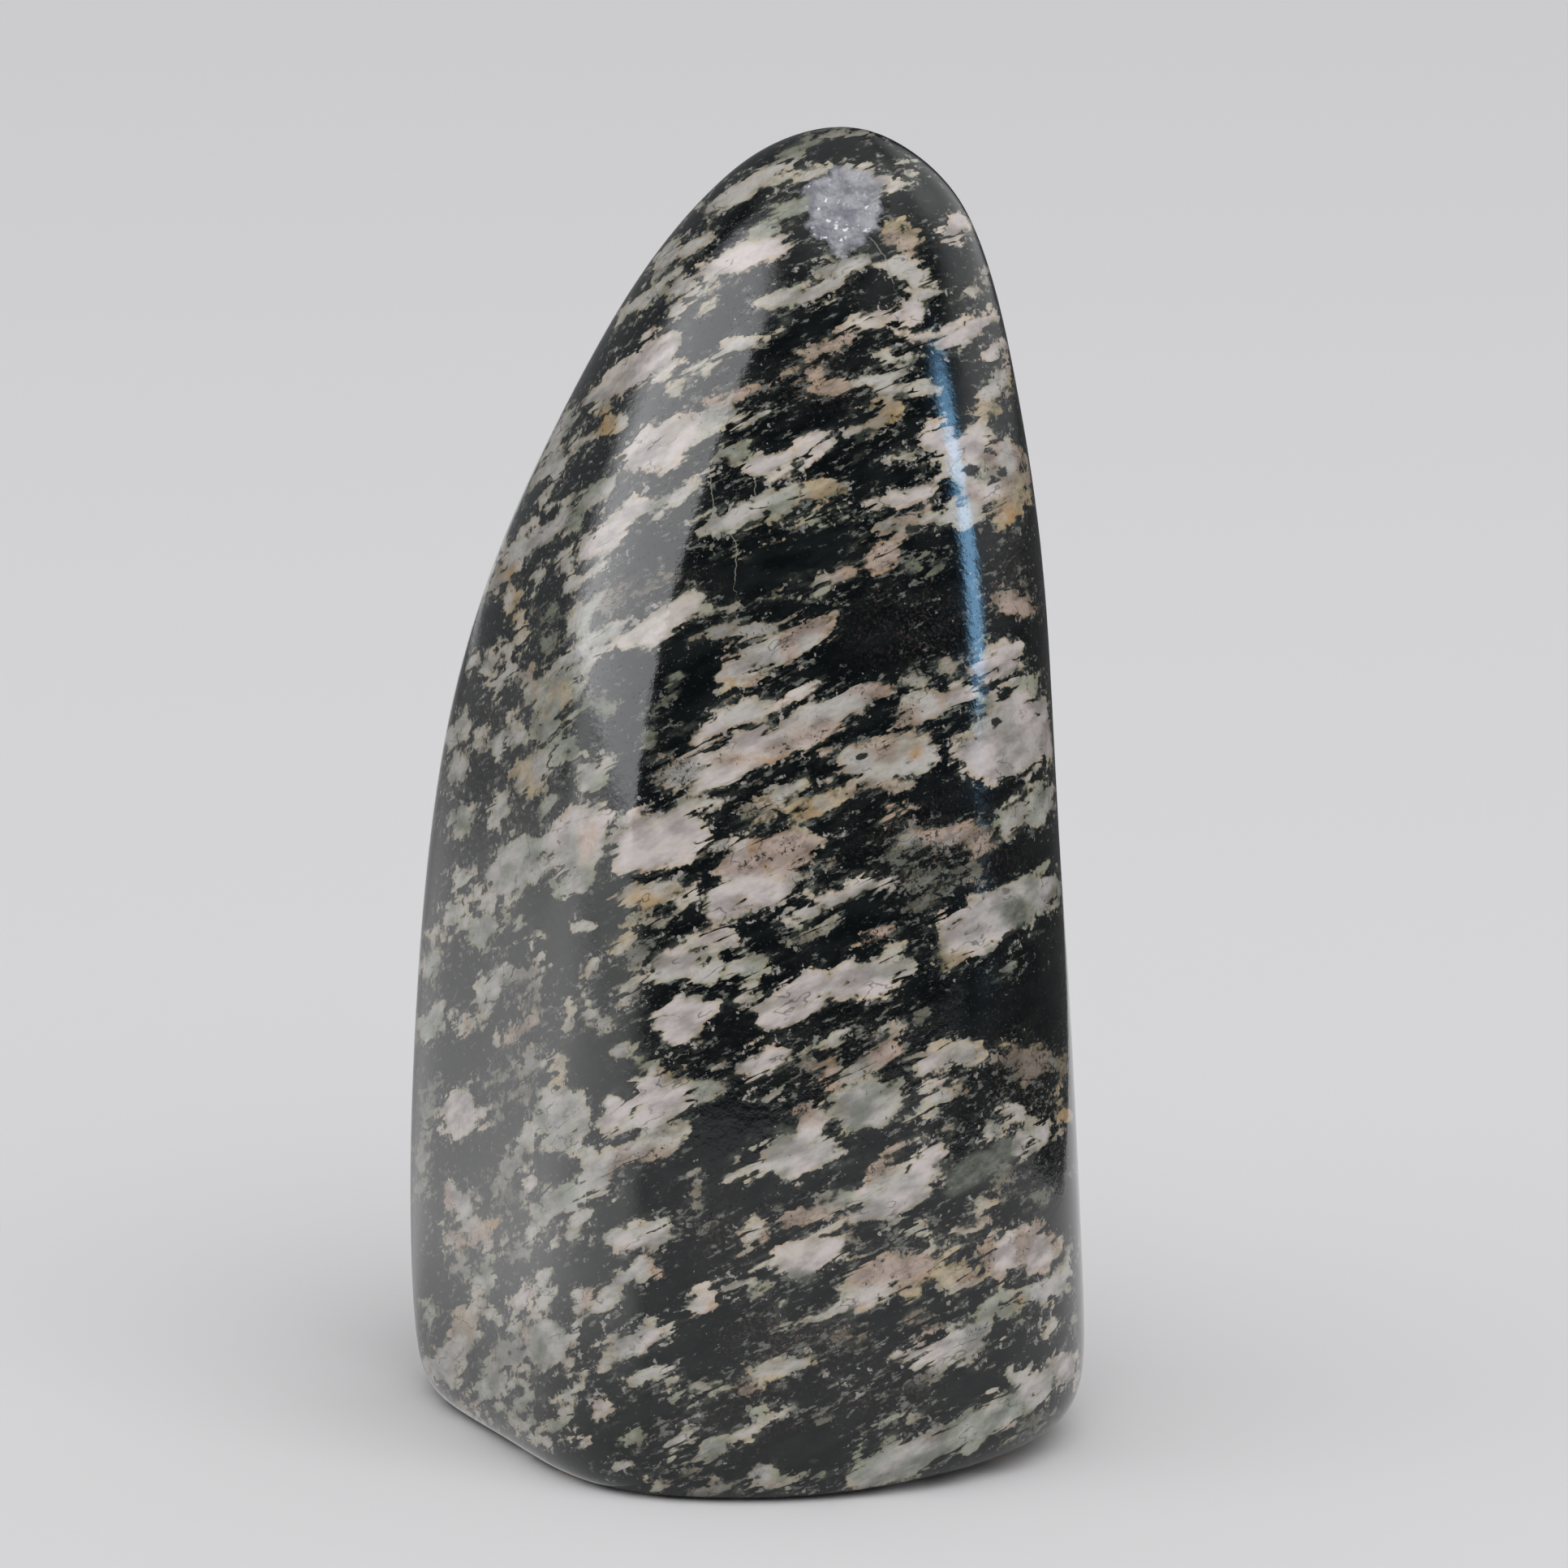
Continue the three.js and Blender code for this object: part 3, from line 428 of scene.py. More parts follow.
# Healed hairline cracks, as points of the picture plane from end to end.
CRACKS = (
    ((-3.2, 96.0), (-2.9, 92.5), (-2.2, 91.0), (-0.5, 89.0), (-0.8, 85.0)),
    ((1.2, 95.5), (1.3, 93.5)),
    ((12.6, 119.4), (14.2, 117.2), (14.9, 114.8)),
)

# How a lens under the skin is dimmed, and the share of dark grains that it gains.
DULL_SHADE: Rgb = (0.05, 0.055, 0.05)
DULL_SHARE = 0.5
DULL_PEPPER = 0.2

# Smallest slope that a depth is divided by.
LEAST_SLOPE = 1e-9


def smoothstep(value: np.ndarray, low: float, high: float) -> np.ndarray:
    """Ease from 0 at low to 1 at high."""
    t = np.clip((value - low) / (high - low), 0.0, 1.0)
    return t * t * (3.0 - 2.0 * t)


def ellipse_depth(
    along: np.ndarray, over: np.ndarray, half_length: float, half_thickness: float,
) -> np.ndarray:
    """Depth of points inside an ellipse.

    Args:
        along: Distance from the middle along the long axis.
        over: Distance from the middle along the short axis.
        half_length: Half the long axis.
        half_thickness: Half the short axis.

    Returns:
        Depth under the rim, negative outside, in the same unit.
    """
    u = along / half_length
    v = over / half_thickness
    ring = np.hypot(u, v)
    slope = np.maximum(np.hypot(u / half_length, v / half_thickness), LEAST_SLOPE)
    reach = np.maximum(ring / slope, half_thickness)
    return np.minimum((1.0 - ring) * reach, half_thickness)


@dataclass(frozen=True)
class Mottle:
    """Smooth noise over the skin: the size of its features in millimetres, its shift and its strength."""

    feature: float
    shift: float
    strength: float = 1.0

    def at(self, points: np.ndarray) -> np.ndarray:
        """Noise at points in millimetres, between about minus and plus the strength."""
        scaled = points / self.feature + self.shift
        return self.strength * np.array([noise.noise(Vector(point)) for point in scaled])


@dataclass(frozen=True)
class Viewpoint:
    """The place that the photograph was taken from. Lengths are in millimetres."""

    target: Rgb = (4.1, 2.0, 65.2)
    distance: float = 650.0
    pitch: float = math.radians(9.0)
    focal_pixels: float = 8091.0
    side_pixels: int = 1932
    pixels_per_mm: float = 12.45
    sensor: float = 36.0

    def axes(self) -> tuple[np.ndarray, np.ndarray]:
        """Direction of sight and upward direction of the picture."""
        sight = np.array([0.0, math.cos(self.pitch), -math.sin(self.pitch)])
        upward = np.array([0.0, math.sin(self.pitch), math.cos(self.pitch)])
        return sight, upward

    def place(self) -> np.ndarray:
        """Place of the lens."""
        sight, _ = self.axes()
        return np.array(self.target) - self.distance * sight

    def picture_plane(self, points: np.ndarray) -> tuple[np.ndarray, np.ndarray]:
        """Read points in the picture plane.

        Args:
            points: Points of the stone in millimetres.

        Returns:
            How far across and how far up each point is, in the frame that the marks are read in.
        """
        sight, upward = self.axes()
        offset = points - np.array(self.target)
        scale = self.focal_pixels / (self.distance + offset @ sight) / self.pixels_per_mm
        return self.target[0] + offset[:, 0] * scale, self.target[2] + (offset @ upward) * scale

    def facing(self, points: np.ndarray, normals: np.ndarray) -> np.ndarray:
        """How squarely the skin faces the viewpoint: 1 square on, 0 at the outline, negative behind."""
        to_eye = self.place() - points
        to_eye /= np.linalg.norm(to_eye, axis=1)[:, None]
        return np.einsum("ij,ij->i", to_eye, normals)

    def make_camera(self) -> bpy.types.Object:
        """Put the scene's camera at the viewpoint.

        Returns:
            The camera.
        """
        data = bpy.data.cameras.new("photo_camera")
        data.lens = self.focal_pixels / self.side_pixels * self.sensor
        data.sensor_width = self.sensor
        data.clip_end = 100.0
        camera = bpy.data.objects.new("photo_camera", data)
        camera.location = Vector(self.place()) * MM
        camera.rotation_euler = (math.pi / 2 - self.pitch, 0.0, 0.0)
        bpy.context.scene.collection.objects.link(camera)
        bpy.context.scene.camera = camera
        return camera


@dataclass
class SkinFields:
    """Values at each point of the skin that the rock finish reads as attributes."""

    lens_depth: np.ndarray
    lens_tone: np.ndarray
    pepper: np.ndarray
    stain: np.ndarray
    sliver: np.ndarray
    grainy: np.ndarray
    clean: np.ndarray
    green_patch: np.ndarray
    crystal: np.ndarray
    crack: np.ndarray


@dataclass(frozen=True)
class Stretch:
    """Invented stretches of the hidden sides: a noise, the range it is eased over, and their strength."""

    mottle: Mottle
    low: float
    high: float
    strength: float = 1.0


@dataclass(frozen=True)
class HiddenLenses:
    """The lenses of the sides that the photograph doesn't show. Pairs are a least and a greatest value."""

    count: int = 1050
    seed: int = 24
    tones: tuple[Tone, ...] = (WHITE, WHITE, CREAM, CREAM, CREAM, GREEN, GREEN, BROWN, OCHRE, PEPPER)
    hidden_below: float = 0.6
    crowd: Mottle = Mottle(17.0, 11.1)
    crowd_middle: float = 0.35
    crowd_limits: tuple[float, float] = (0.02, 1.0)
    deepest_middle: float = 0.8
    dull_chance: float = 0.12
    tilt: float = 0.13
    log_length: float = 0.95
    log_length_spread: float = 0.5
    half_lengths: tuple[float, float] = (0.7, 6.5)
    width_shares: tuple[float, float] = (0.55, 1.0)
    thickness_shares: tuple[float, float] = (0.22, 0.5)
    half_thicknesses: tuple[float, float] = (0.3, 2.4)

    def middles(self, rng: np.random.Generator, points: np.ndarray, seen: np.ndarray) -> np.ndarray:
        """Pick the points that lenses lie under.

        Args:
            rng: Source of the picks.
            points: Points of the skin.
            seen: How well the photograph shows each point, from 0 to 1.

        Returns:
            Numbers of the picked points.
        """
        crowd = self.crowd.at(points) + self.crowd_middle
        chance = np.where(seen < self.hidden_below, np.clip(crowd, *self.crowd_limits), 0.0)
        return rng.choice(len(points), self.count, p=chance / chance.sum())

    def pick_tone(self, rng: np.random.Generator) -> Tone:
        """Pick one of the tones."""
        return self.tones[rng.integers(len(self.tones))]

    def depth(self, rng: np.random.Generator, points: np.ndarray, middle: np.ndarray) -> np.ndarray:
        """Depth of each point inside a lens that is flattened in the foliation.

        Args:
            rng: Source of the lens's sizes and tilt.
            points: Points of the skin.
            middle: Middle of the lens.

        Returns:
            Depth of each point, negative outside.
        """
        upright = np.array(FOLIATION) + rng.normal(0.0, self.tilt, 3)
        upright /= np.linalg.norm(upright)
        along = np.cross(upright, rng.normal(0.0, 1.0, 3))
        along /= np.linalg.norm(along)
        length = math.exp(rng.normal(self.log_length, self.log_length_spread))
        half_length = float(np.clip(length, *self.half_lengths))
        half_width = half_length * rng.uniform(*self.width_shares)
        thickness = half_length * rng.uniform(*self.thickness_shares)
        half_thickness = float(np.clip(thickness, *self.half_thicknesses))
        offset = points - middle
        x = offset @ along
        y = offset @ np.cross(upright, along) * (half_length / half_width)
        return ellipse_depth(np.hypot(x, y), offset @ upright, half_length, half_thickness)


@dataclass
class Markings:
    """Works out the markings of the rock over the whole skin.

    The side that the photograph shows carries the marks read from it. The other sides carry lenses of
    the same fabric, flattened in the plane of the rock's foliation and scattered with a fixed seed.
    """

    viewpoint: Viewpoint
    points: np.ndarray
    normals: np.ndarray
    seen_from: float = 0.02
    seen_fully: float = 0.10
    foot_from: float = -0.97
    foot_fully: float = -0.85
    cracks_from: float = 0.5
    left_gain: float = 0.32
    far_outside: float = 4.0
    deep_inside: float = 2.0
    tone_sharpness: float = 3.5
    bare_weight: float = 1e-9
    bare_tone: float = 0.4
    bare_pepper: float = 0.3
    second_tone: Stretch = Stretch(Mottle(3.2, 7.3), -0.12, 0.22)
    bends_across: tuple[Mottle, ...] = (Mottle(3.4, 31.7, 0.55), Mottle(1.5, 3.1, 0.25))
    bends_up: tuple[Mottle, ...] = (Mottle(3.0, 57.9, 0.45), Mottle(1.4, 71.3, 0.22))
    hidden_lenses: HiddenLenses = HiddenLenses()
    hidden_stain: Stretch = Stretch(Mottle(5.0, 91.0), 0.3, 0.55, 0.6)
    hidden_grainy: Stretch = Stretch(Mottle(9.0, 23.0), 0.05, 0.4)
    hidden_clean: Stretch = Stretch(Mottle(10.0, 47.0), 0.05, 0.4)

    def __post_init__(self) -> None:
        """Read the skin in the picture plane, and start with bare rock all over it."""
        self.across, self.up = self.viewpoint.picture_plane(self.points)
        self.bent_across = self.across + sum(bend.at(self.points) for bend in self.bends_across)
        self.bent_up = self.up + sum(bend.at(self.points) for bend in self.bends_up)
        facing = self.viewpoint.facing(self.points, self.normals)
        self.seen = smoothstep(facing, self.seen_from, self.seen_fully)
        self.seen *= smoothstep(self.normals[:, 2], self.foot_from, self.foot_fully)
        self.sunk = self.far_outside * (1 - self.seen)
        self.second_share = self.stretch(self.second_tone)
        self.depth = np.full(len(self.points), -self.far_outside)
        self.weight = np.full(len(self.points), self.bare_weight)
        self.colour = np.full((len(self.points), 3), self.bare_tone) * self.weight[:, None]
        self.pepper = self.bare_pepper * self.weight

    def stretch(self, stretch: Stretch) -> np.ndarray:
        """Strength of an invented stretch at each point."""
        return stretch.strength * smoothstep(stretch.mottle.at(self.points), stretch.low, stretch.high)

    def patch_depth(self, patch: Patch, across: np.ndarray, up: np.ndarray) -> np.ndarray:
        """Depth of each point inside a patch of the picture plane.

        Args:
            patch: The patch.
            across: How far across each point is.
            up: How far up it is.

        Returns:
            The depths, negative outside.
        """
        dip = math.radians(patch.dip)
        x = across - patch.across
        y = up - patch.up
        along = x * math.cos(dip) + y * math.sin(dip)
        over = -x * math.sin(dip) + y * math.cos(dip)
        return ellipse_depth(along, over, patch.half_length, patch.half_thickness)

    def deepest(self, patches: tuple[Patch, ...], across: np.ndarray, up: np.ndarray) -> np.ndarray:
        """Depth of each point in the deepest of several patches.

        Args:
            patches: The patches.
            across: How far across each point is.
            up: How far up it is.

        Returns:
            The depths, negative outside all of them.
        """
        depth = np.full(len(self.points), -self.far_outside)
        for patch in patches:
            depth = np.maximum(depth, self.patch_depth(patch, across, up) - self.sunk)
        return depth

    def spots(self, spots: tuple[Spot, ...], hidden: Stretch) -> np.ndarray:
        """Strongest of several soft spots at each point, with an invented stretch on the hidden sides.

        Args:
            spots: The spots of the side that the photograph shows.
            hidden: The invented stretch.

        Returns:
            One strength per point.
        """
        total = np.zeros(len(self.points))
        for spot in spots:
            across = ((self.across - spot.across) / spot.half_width) ** 2
            away = across + ((self.up - spot.up) / spot.half_height) ** 2
            total = np.maximum(total, spot.strength * np.exp(-(away ** 1.5)))
        return np.maximum(total * self.seen, (1 - self.seen) * self.stretch(hidden))

    def crack_offset(self) -> np.ndarray:
        """Signed distance of each point from the nearest crack, large past a crack's ends.

        Returns:
            One distance per point, in millimetres.
        """
        best = np.full(len(self.points), self.far_outside)
        for crack in CRACKS:
            for (x0, y0), (x1, y1) in zip(crack, crack[1:]):
                length = math.hypot(x1 - x0, y1 - y0)
                dx = (x1 - x0) / length
                dy = (y1 - y0) / length
                run = (self.across - x0) * dx + (self.up - y0) * dy
                side = (self.across - x0) * -dy + (self.up - y0) * dx
                beyond = np.maximum(np.maximum(-run, run - length), 0.0)
                offset = np.where(side < 0, -1.0, 1.0) * (np.abs(side) + beyond)
                best = np.where(np.abs(offset) < np.abs(best), offset, best)
        return np.where(self.seen > self.cracks_from, best, self.far_outside)

    def lay(self, depth: np.ndarray, first: Tone, second: Tone, dull: bool) -> None:
        """Add one lens to the depth, the colour and the grains gathered so far.

        Args:
            depth: Depth of each point inside the lens.
            first: Its main tone.
            second: The tone that it is mottled with.
            dull: Whether it lies a little under the polished skin.
        """
        one = TONE_LOOKS[first]
        other = TONE_LOOKS[second]
        share = self.second_share
        colour = np.array(one.colour) * (1 - share[:, None]) + np.array(other.colour) * share[:, None]
        pepper = one.pepper * (1 - share) + other.pepper * share
        if dull:
            colour = colour * (1 - DULL_SHARE) + np.array(DULL_SHADE) * DULL_SHARE
            pepper = pepper + DULL_PEPPER
        weight = np.exp(self.tone_sharpness * np.clip(depth, -self.far_outside, self.deep_inside))
        self.depth = np.maximum(self.depth, depth)
        self.weight += weight
        self.colour += colour * weight[:, None]
        self.pepper += pepper * weight

    def lay_seen_lenses(self) -> None:
        """Lay on the lenses read from the photograph, a little wider on the left face."""
        widened = self.left_gain * np.clip(-self.normals[:, 0], 0.0, 1.0)
        for lens in SEEN_LENSES:
            depth = self.patch_depth(lens, self.bent_across, self.bent_up) + widened - self.sunk
            self.lay(depth, lens.tone, lens.second or lens.tone, lens.dull)

    def lay_hidden_lenses(self) -> None:
        """Scatter lenses over the sides that the photograph doesn't show."""
        hidden = self.hidden_lenses
        rng = np.random.default_rng(hidden.seed)
        for index in hidden.middles(rng, self.points, self.seen):
            middle = self.points[index] - self.normals[index] * rng.uniform(0.0, hidden.deepest_middle)
            first = hidden.pick_tone(rng)
            second = hidden.pick_tone(rng)
            depth = hidden.depth(rng, self.points, middle) - self.far_outside * self.seen
            self.lay(depth, first, second, dull=rng.uniform() < hidden.dull_chance)

    def work_out(self) -> SkinFields:
        """Work out every field of the skin.

        Returns:
            The fields, one value per point.
        """
        self.lay_seen_lenses()
        self.lay_hidden_lenses()
        return SkinFields(
            lens_depth=self.depth,
            lens_tone=self.colour / self.weight[:, None],
            pepper=self.pepper / self.weight,
            stain=self.spots(STAINS, self.hidden_stain),
            sliver=self.deepest(DARK_SLIVERS, self.across, self.up),
            grainy=self.spots(GRAINY_ROCK, self.hidden_grainy),
            clean=self.spots(CLEAN_ROCK, self.hidden_clean),
            green_patch=self.deepest(GREEN_PATCHES, self.bent_across, self.bent_up),
            crystal=self.patch_depth(CRYSTAL_PATCH, self.bent_across, self.bent_up) - self.sunk,
            crack=self.crack_offset(),
        )


@dataclass(frozen=True)
class Span:
    """A range that a value is eased over, and what it becomes at the range's two ends."""

    low: float
    high: float
    start: float = 0.0
    end: float = 1.0


@dataclass(frozen=True)
class Cloud:
    """Cloudy noise: features for each millimetre, detail, roughness, and the span it is eased over."""

    fineness: float
    detail: float
    roughness: float = 0.5
    span: Span = Span(0.0, 1.0)


class NodeBench:
    """Lays out shader nodes in one tree. A value may be a socket or a plain number or colour."""

    def __init__(self, tree: bpy.types.NodeTree) -> None:
        """Start on an empty tree."""
        self.tree = tree
        self.tree.nodes.clear()

    def add(self, kind: str, **settings: object) -> bpy.types.Node:
        """Add a node and set its properties."""
        node = self.tree.nodes.new(kind)
        for name, value in settings.items():
            setattr(node, name, value)
        return node

    def feed(self, socket: bpy.types.NodeSocket, value: object) -> None:
        """Link a socket to another, or give it a plain value."""
        if isinstance(value, bpy.types.NodeSocket):
            self.tree.links.new(value, socket)
        elif isinstance(value, tuple) and len(value) == 3 and socket.type == "RGBA":
            socket.default_value = (*value, 1.0)
        else:
            socket.default_value = value

    def finish(self, kind: str, result: object) -> None:
        """Feed the tree's output node, of a material or of the world."""
        output = self.add(kind)
        self.feed(output.inputs["Surface"], result)

    def math(
        self, operation: str, first: object, second: object = 0.0, clamp: bool = False,
    ) -> bpy.types.NodeSocket:
        """Combine two numbers."""
        node = self.add("ShaderNodeMath", operation=operation, use_clamp=clamp)
        self.feed(node.inputs[0], first)
        self.feed(node.inputs[1], second)
        return node.outputs[0]

    def times(self, first: object, second: object, clamp: bool = False) -> bpy.types.NodeSocket:
        """Multiply two numbers."""
        return self.math("MULTIPLY", first, second, clamp)

    def plus(self, first: object, *others: object) -> bpy.types.NodeSocket:
        """Add numbers up."""
        total = first
        for other in others:
            total = self.math("ADD", total, other)
        return total

    def minus(self, first: object, second: object) -> bpy.types.NodeSocket:
        """Take a number from another."""
        return self.math("SUBTRACT", first, second)

    def ease(
        self, value: object, low: object, high: object, start: float = 0.0, end: float = 1.0,
    ) -> bpy.types.NodeSocket:
        """Ease from start to end as a value goes from low to high."""
        node = self.add("ShaderNodeMapRange", interpolation_type="SMOOTHSTEP")
        for socket, given in zip(node.inputs, (value, low, high, start, end)):
            self.feed(socket, given)
        return node.outputs[0]

    def eased(self, value: object, span: Span) -> bpy.types.NodeSocket:
        """Ease a value over a span."""
        return self.ease(value, span.low, span.high, span.start, span.end)

    def blend(self, share: object, first: object, second: object, mode: str = "MIX") -> bpy.types.NodeSocket:
        """Mix two colours by a share."""
        node = self.add("ShaderNodeMix", data_type="RGBA", blend_type=mode, clamp_factor=True)
        self.feed(node.inputs[0], share)
        self.feed(node.inputs[6], first)
        self.feed(node.inputs[7], second)
        return node.outputs[2]

    def tint(self, first: object, second: object) -> bpy.types.NodeSocket:
        """Multiply two colours."""
        return self.blend(1.0, first, second, "MULTIPLY")

    def vector(self, operation: str, first: object, second: object) -> bpy.types.Node:
        """Combine two vectors."""
        node = self.add("ShaderNodeVectorMath", operation=operation)
        self.feed(node.inputs[0], first)
        self.feed(node.inputs[1], second)
        return node

    def scale(self, colour: object, amount: object) -> bpy.types.NodeSocket:
        """Make a colour lighter or darker by an amount."""
        node = self.add("ShaderNodeVectorMath", operation="SCALE")
        self.feed(node.inputs[0], colour)
        self.feed(node.inputs["Scale"], amount)
        return node.outputs[0]

    def read(self, name: str, output: str = "Fac") -> bpy.types.NodeSocket:
        """Read an attribute of the skin."""
        node = self.add("ShaderNodeAttribute", attribute_type="GEOMETRY", attribute_name=name)
        return node.outputs[output]

    def noise(self, place: object, cloud: Cloud) -> bpy.types.Node:
        """Cloudy noise as a number and as a colour."""
        node = self.add("ShaderNodeTexNoise", noise_dimensions="3D")
        self.feed(node.inputs["Vector"], place)
        self.feed(node.inputs["Scale"], cloud.fineness)
        self.feed(node.inputs["Detail"], cloud.detail)
        self.feed(node.inputs["Roughness"], cloud.roughness)
        return node

    def cloud(self, place: object, cloud: Cloud) -> bpy.types.NodeSocket:
        """Cloudy noise between 0 and 1."""
        return self.noise(place, cloud).outputs["Fac"]

    def patches(self, place: object, cloud: Cloud) -> bpy.types.NodeSocket:
        """Cloudy noise, eased over its span."""
        return self.eased(self.cloud(place, cloud), cloud.span)

    def centred(self, value: object, reach: float) -> bpy.types.NodeSocket:
        """Turn a value between 0 and 1 into one between minus and plus the reach."""
        return self.times(self.minus(value, 0.5), 2 * reach)

    def waves(self, place: object, cloud: Cloud, reach: float) -> bpy.types.NodeSocket:
        """Cloudy noise between minus and plus the reach."""
        return self.centred(self.cloud(place, cloud), reach)

    def seams(self, place: object, cloud: Cloud) -> bpy.types.NodeSocket:
        """Thin wandering seams where the noise crosses its middle, as wide as its span says."""
        return self.eased(self.math("ABSOLUTE", self.waves(place, cloud, 0.5)), cloud.span)

    def cells(self, place: object, fineness: float) -> bpy.types.Node:
        """Rounded cells, one random colour each."""
        node = self.add("ShaderNodeTexVoronoi", feature="F1")
        self.feed(node.inputs["Vector"], place)
        self.feed(node.inputs["Scale"], fineness)
        return node


@dataclass(frozen=True)
class RockPlaces:
    """Coordinates on the stone in millimetres: plain ones, and ones drawn out along the foliation."""

    plain: bpy.types.NodeSocket
    drawn: bpy.types.NodeSocket


@dataclass(frozen=True)
class LensRims:
    """The ragged, crumbled rims of the pale lenses. Lengths are in millimetres."""

    shrink: float = -0.07
    ragged: Cloud = Cloud(0.6, 3.0)
    ragged_reach: float = 1.6
    wisp_stretch: Rgb = (0.5, 0.5, 1.15)
    wisps: Cloud = Cloud(1.0, 2.0)
    wisp_reach: float = 1.0
    lobe_bend: Cloud = Cloud(1.1, 2.0)
    lobe_bend_reach: float = 0.9
    lobe_size: float = 1.05
    lobe_middle: float = 0.42
    lobe_reach: float = 1.15
    crumbs: Cloud = Cloud(1.5, 3.0, 0.6)
    crumb_reach: float = 0.8
    loose: Cloud = Cloud(0.33, 2.0, 0.5, Span(0.42, 0.62, 0.2, 1.0))
    cuts: Cloud = Cloud(0.5, 3.0, 0.5, Span(0.0, 0.05, 1.0, 0.0))
    cut_places: Cloud = Cloud(0.28, 2.0, 0.5, Span(0.4, 0.6))
    cut_depth: float = 1.1

    def depth(self, bench: NodeBench, places: RockPlaces) -> bpy.types.NodeSocket:
        """Depth inside the lenses once their rims are ragged, cut by dark wisps and crumbled.

        Args:
            bench: Where the nodes go.
            places: Coordinates on the stone.

        Returns:
            The depth in millimetres, negative in the dark rock.
        """
        plain, drawn = places.plain, places.drawn
        thin = bench.vector("MULTIPLY", drawn, self.wisp_stretch).outputs[0]
        bend = bench.scale(bench.noise(plain, self.lobe_bend).outputs["Color"], self.lobe_bend_reach)
        bent = bench.vector("ADD", drawn, bend).outputs[0]
        lobes = bench.cells(bent, 1.0 / self.lobe_size).outputs["Distance"]
        lobes = bench.times(bench.minus(self.lobe_middle, lobes), self.lobe_reach)
        crumbs = bench.waves(plain, self.crumbs, self.crumb_reach)
        crumbs = bench.times(crumbs, bench.patches(plain, self.loose))
        depth = bench.plus(
            bench.minus(bench.read("lens_depth"), self.shrink),
            bench.waves(drawn, self.ragged, self.ragged_reach),
            bench.waves(thin, self.wisps, self.wisp_reach),
        )
        cut = bench.times(bench.seams(thin, self.cuts), bench.patches(plain, self.cut_places))
        depth = bench.minus(depth, bench.times(cut, self.cut_depth))
        return bench.plus(depth, lobes, crumbs)


@dataclass(frozen=True)
class DarkRock:
    """The near-black rock between the lenses, with its flecks, brown grains and loose crumbs."""

    dark: Rgb = (0.0022, 0.0034, 0.0040)
    light: Rgb = (0.0085, 0.0105, 0.0105)
    shade: Cloud = Cloud(0.5, 4.0, 0.6, Span(0.38, 0.66))
    fleck: Rgb = (0.17, 0.175, 0.155)
    streaks: Cloud = Cloud(1.7, 4.0, 0.68)
    fleck_rarity: float = 0.615
    fewer_in_clean: float = 0.1
    more_in_grainy: float = 0.05
    more_near_lens: float = 0.085
    near_lens: Span = Span(-2.6, -0.1)
    fleck_softness: float = 0.11
    fleck_share: float = 0.85
    fringe: Rgb = (0.062, 0.070, 0.058)
    fringe_width: Span = Span(-1.0, 0.0)
    fringe_places: Cloud = Cloud(0.9, 4.0, 0.6, Span(0.46, 0.64))
    fringe_share: float = 0.62
    brown: Rgb = (0.125, 0.095, 0.078)
    brown_grains: Cloud = Cloud(2.7, 4.0, 0.75, Span(0.48, 0.68))
    brown_clumps: Cloud = Cloud(0.6, 2.0, 0.5, Span(0.36, 0.62, 0.3, 1.0))
    brown_share: float = 0.8
    crumbs: Cloud = Cloud(1.25, 3.0, 0.55)
    crumb_rarity: float = 0.69
    crumbs_near_lens: Span = Span(-1.3, 0.0, 0.0, 0.12)
    fewer_crumbs_in_clean: float = 0.07
    crumb_softness: float = 0.05
    crumb_share: float = 0.95
    crumb_shade: float = 0.62

    def colour(self, bench: NodeBench, places: RockPlaces, depth: object) -> bpy.types.NodeSocket:
        """Colour of the dark rock.

        Args:
            bench: Where the nodes go.
            places: Coordinates on the stone.
            depth: Depth inside the crumbled lenses, negative in the dark rock.

        Returns:
            The colour.
        """
        plain, drawn = places.plain, places.drawn
        colour = bench.blend(bench.patches(drawn, self.shade), self.dark, self.light)
        clean = bench.read("clean")
        grainy = bench.read("grainy")
        near = bench.eased(depth, self.near_lens)
        rarity = bench.plus(self.fleck_rarity, bench.times(clean, self.fewer_in_clean))
        rarity = bench.minus(rarity, bench.times(grainy, self.more_in_grainy))
        rarity = bench.minus(rarity, bench.times(near, self.more_near_lens))
        common = bench.plus(rarity, self.fleck_softness)
        fleck = bench.ease(bench.cloud(drawn, self.streaks), rarity, common, 0.0, self.fleck_share)
        colour = bench.blend(fleck, colour, self.fleck)
        veil = bench.times(bench.eased(depth, self.fringe_width), bench.patches(drawn, self.fringe_places))
        colour = bench.blend(bench.times(veil, self.fringe_share), colour, self.fringe)
        brown = bench.times(grainy, bench.patches(drawn, self.brown_clumps))
        brown = bench.times(brown, bench.patches(plain, self.brown_grains))
        colour = bench.blend(bench.times(brown, self.brown_share), colour, self.brown)
        scarce = bench.plus(
            bench.minus(self.crumb_rarity, bench.eased(depth, self.crumbs_near_lens)),
            bench.times(clean, self.fewer_crumbs_in_clean),
        )
        common = bench.plus(scarce, self.crumb_softness)
        crumb = bench.ease(bench.cloud(plain, self.crumbs), scarce, common, 0.0, self.crumb_share)
        return bench.blend(crumb, colour, bench.scale(bench.read("lens_tone", "Color"), self.crumb_shade))


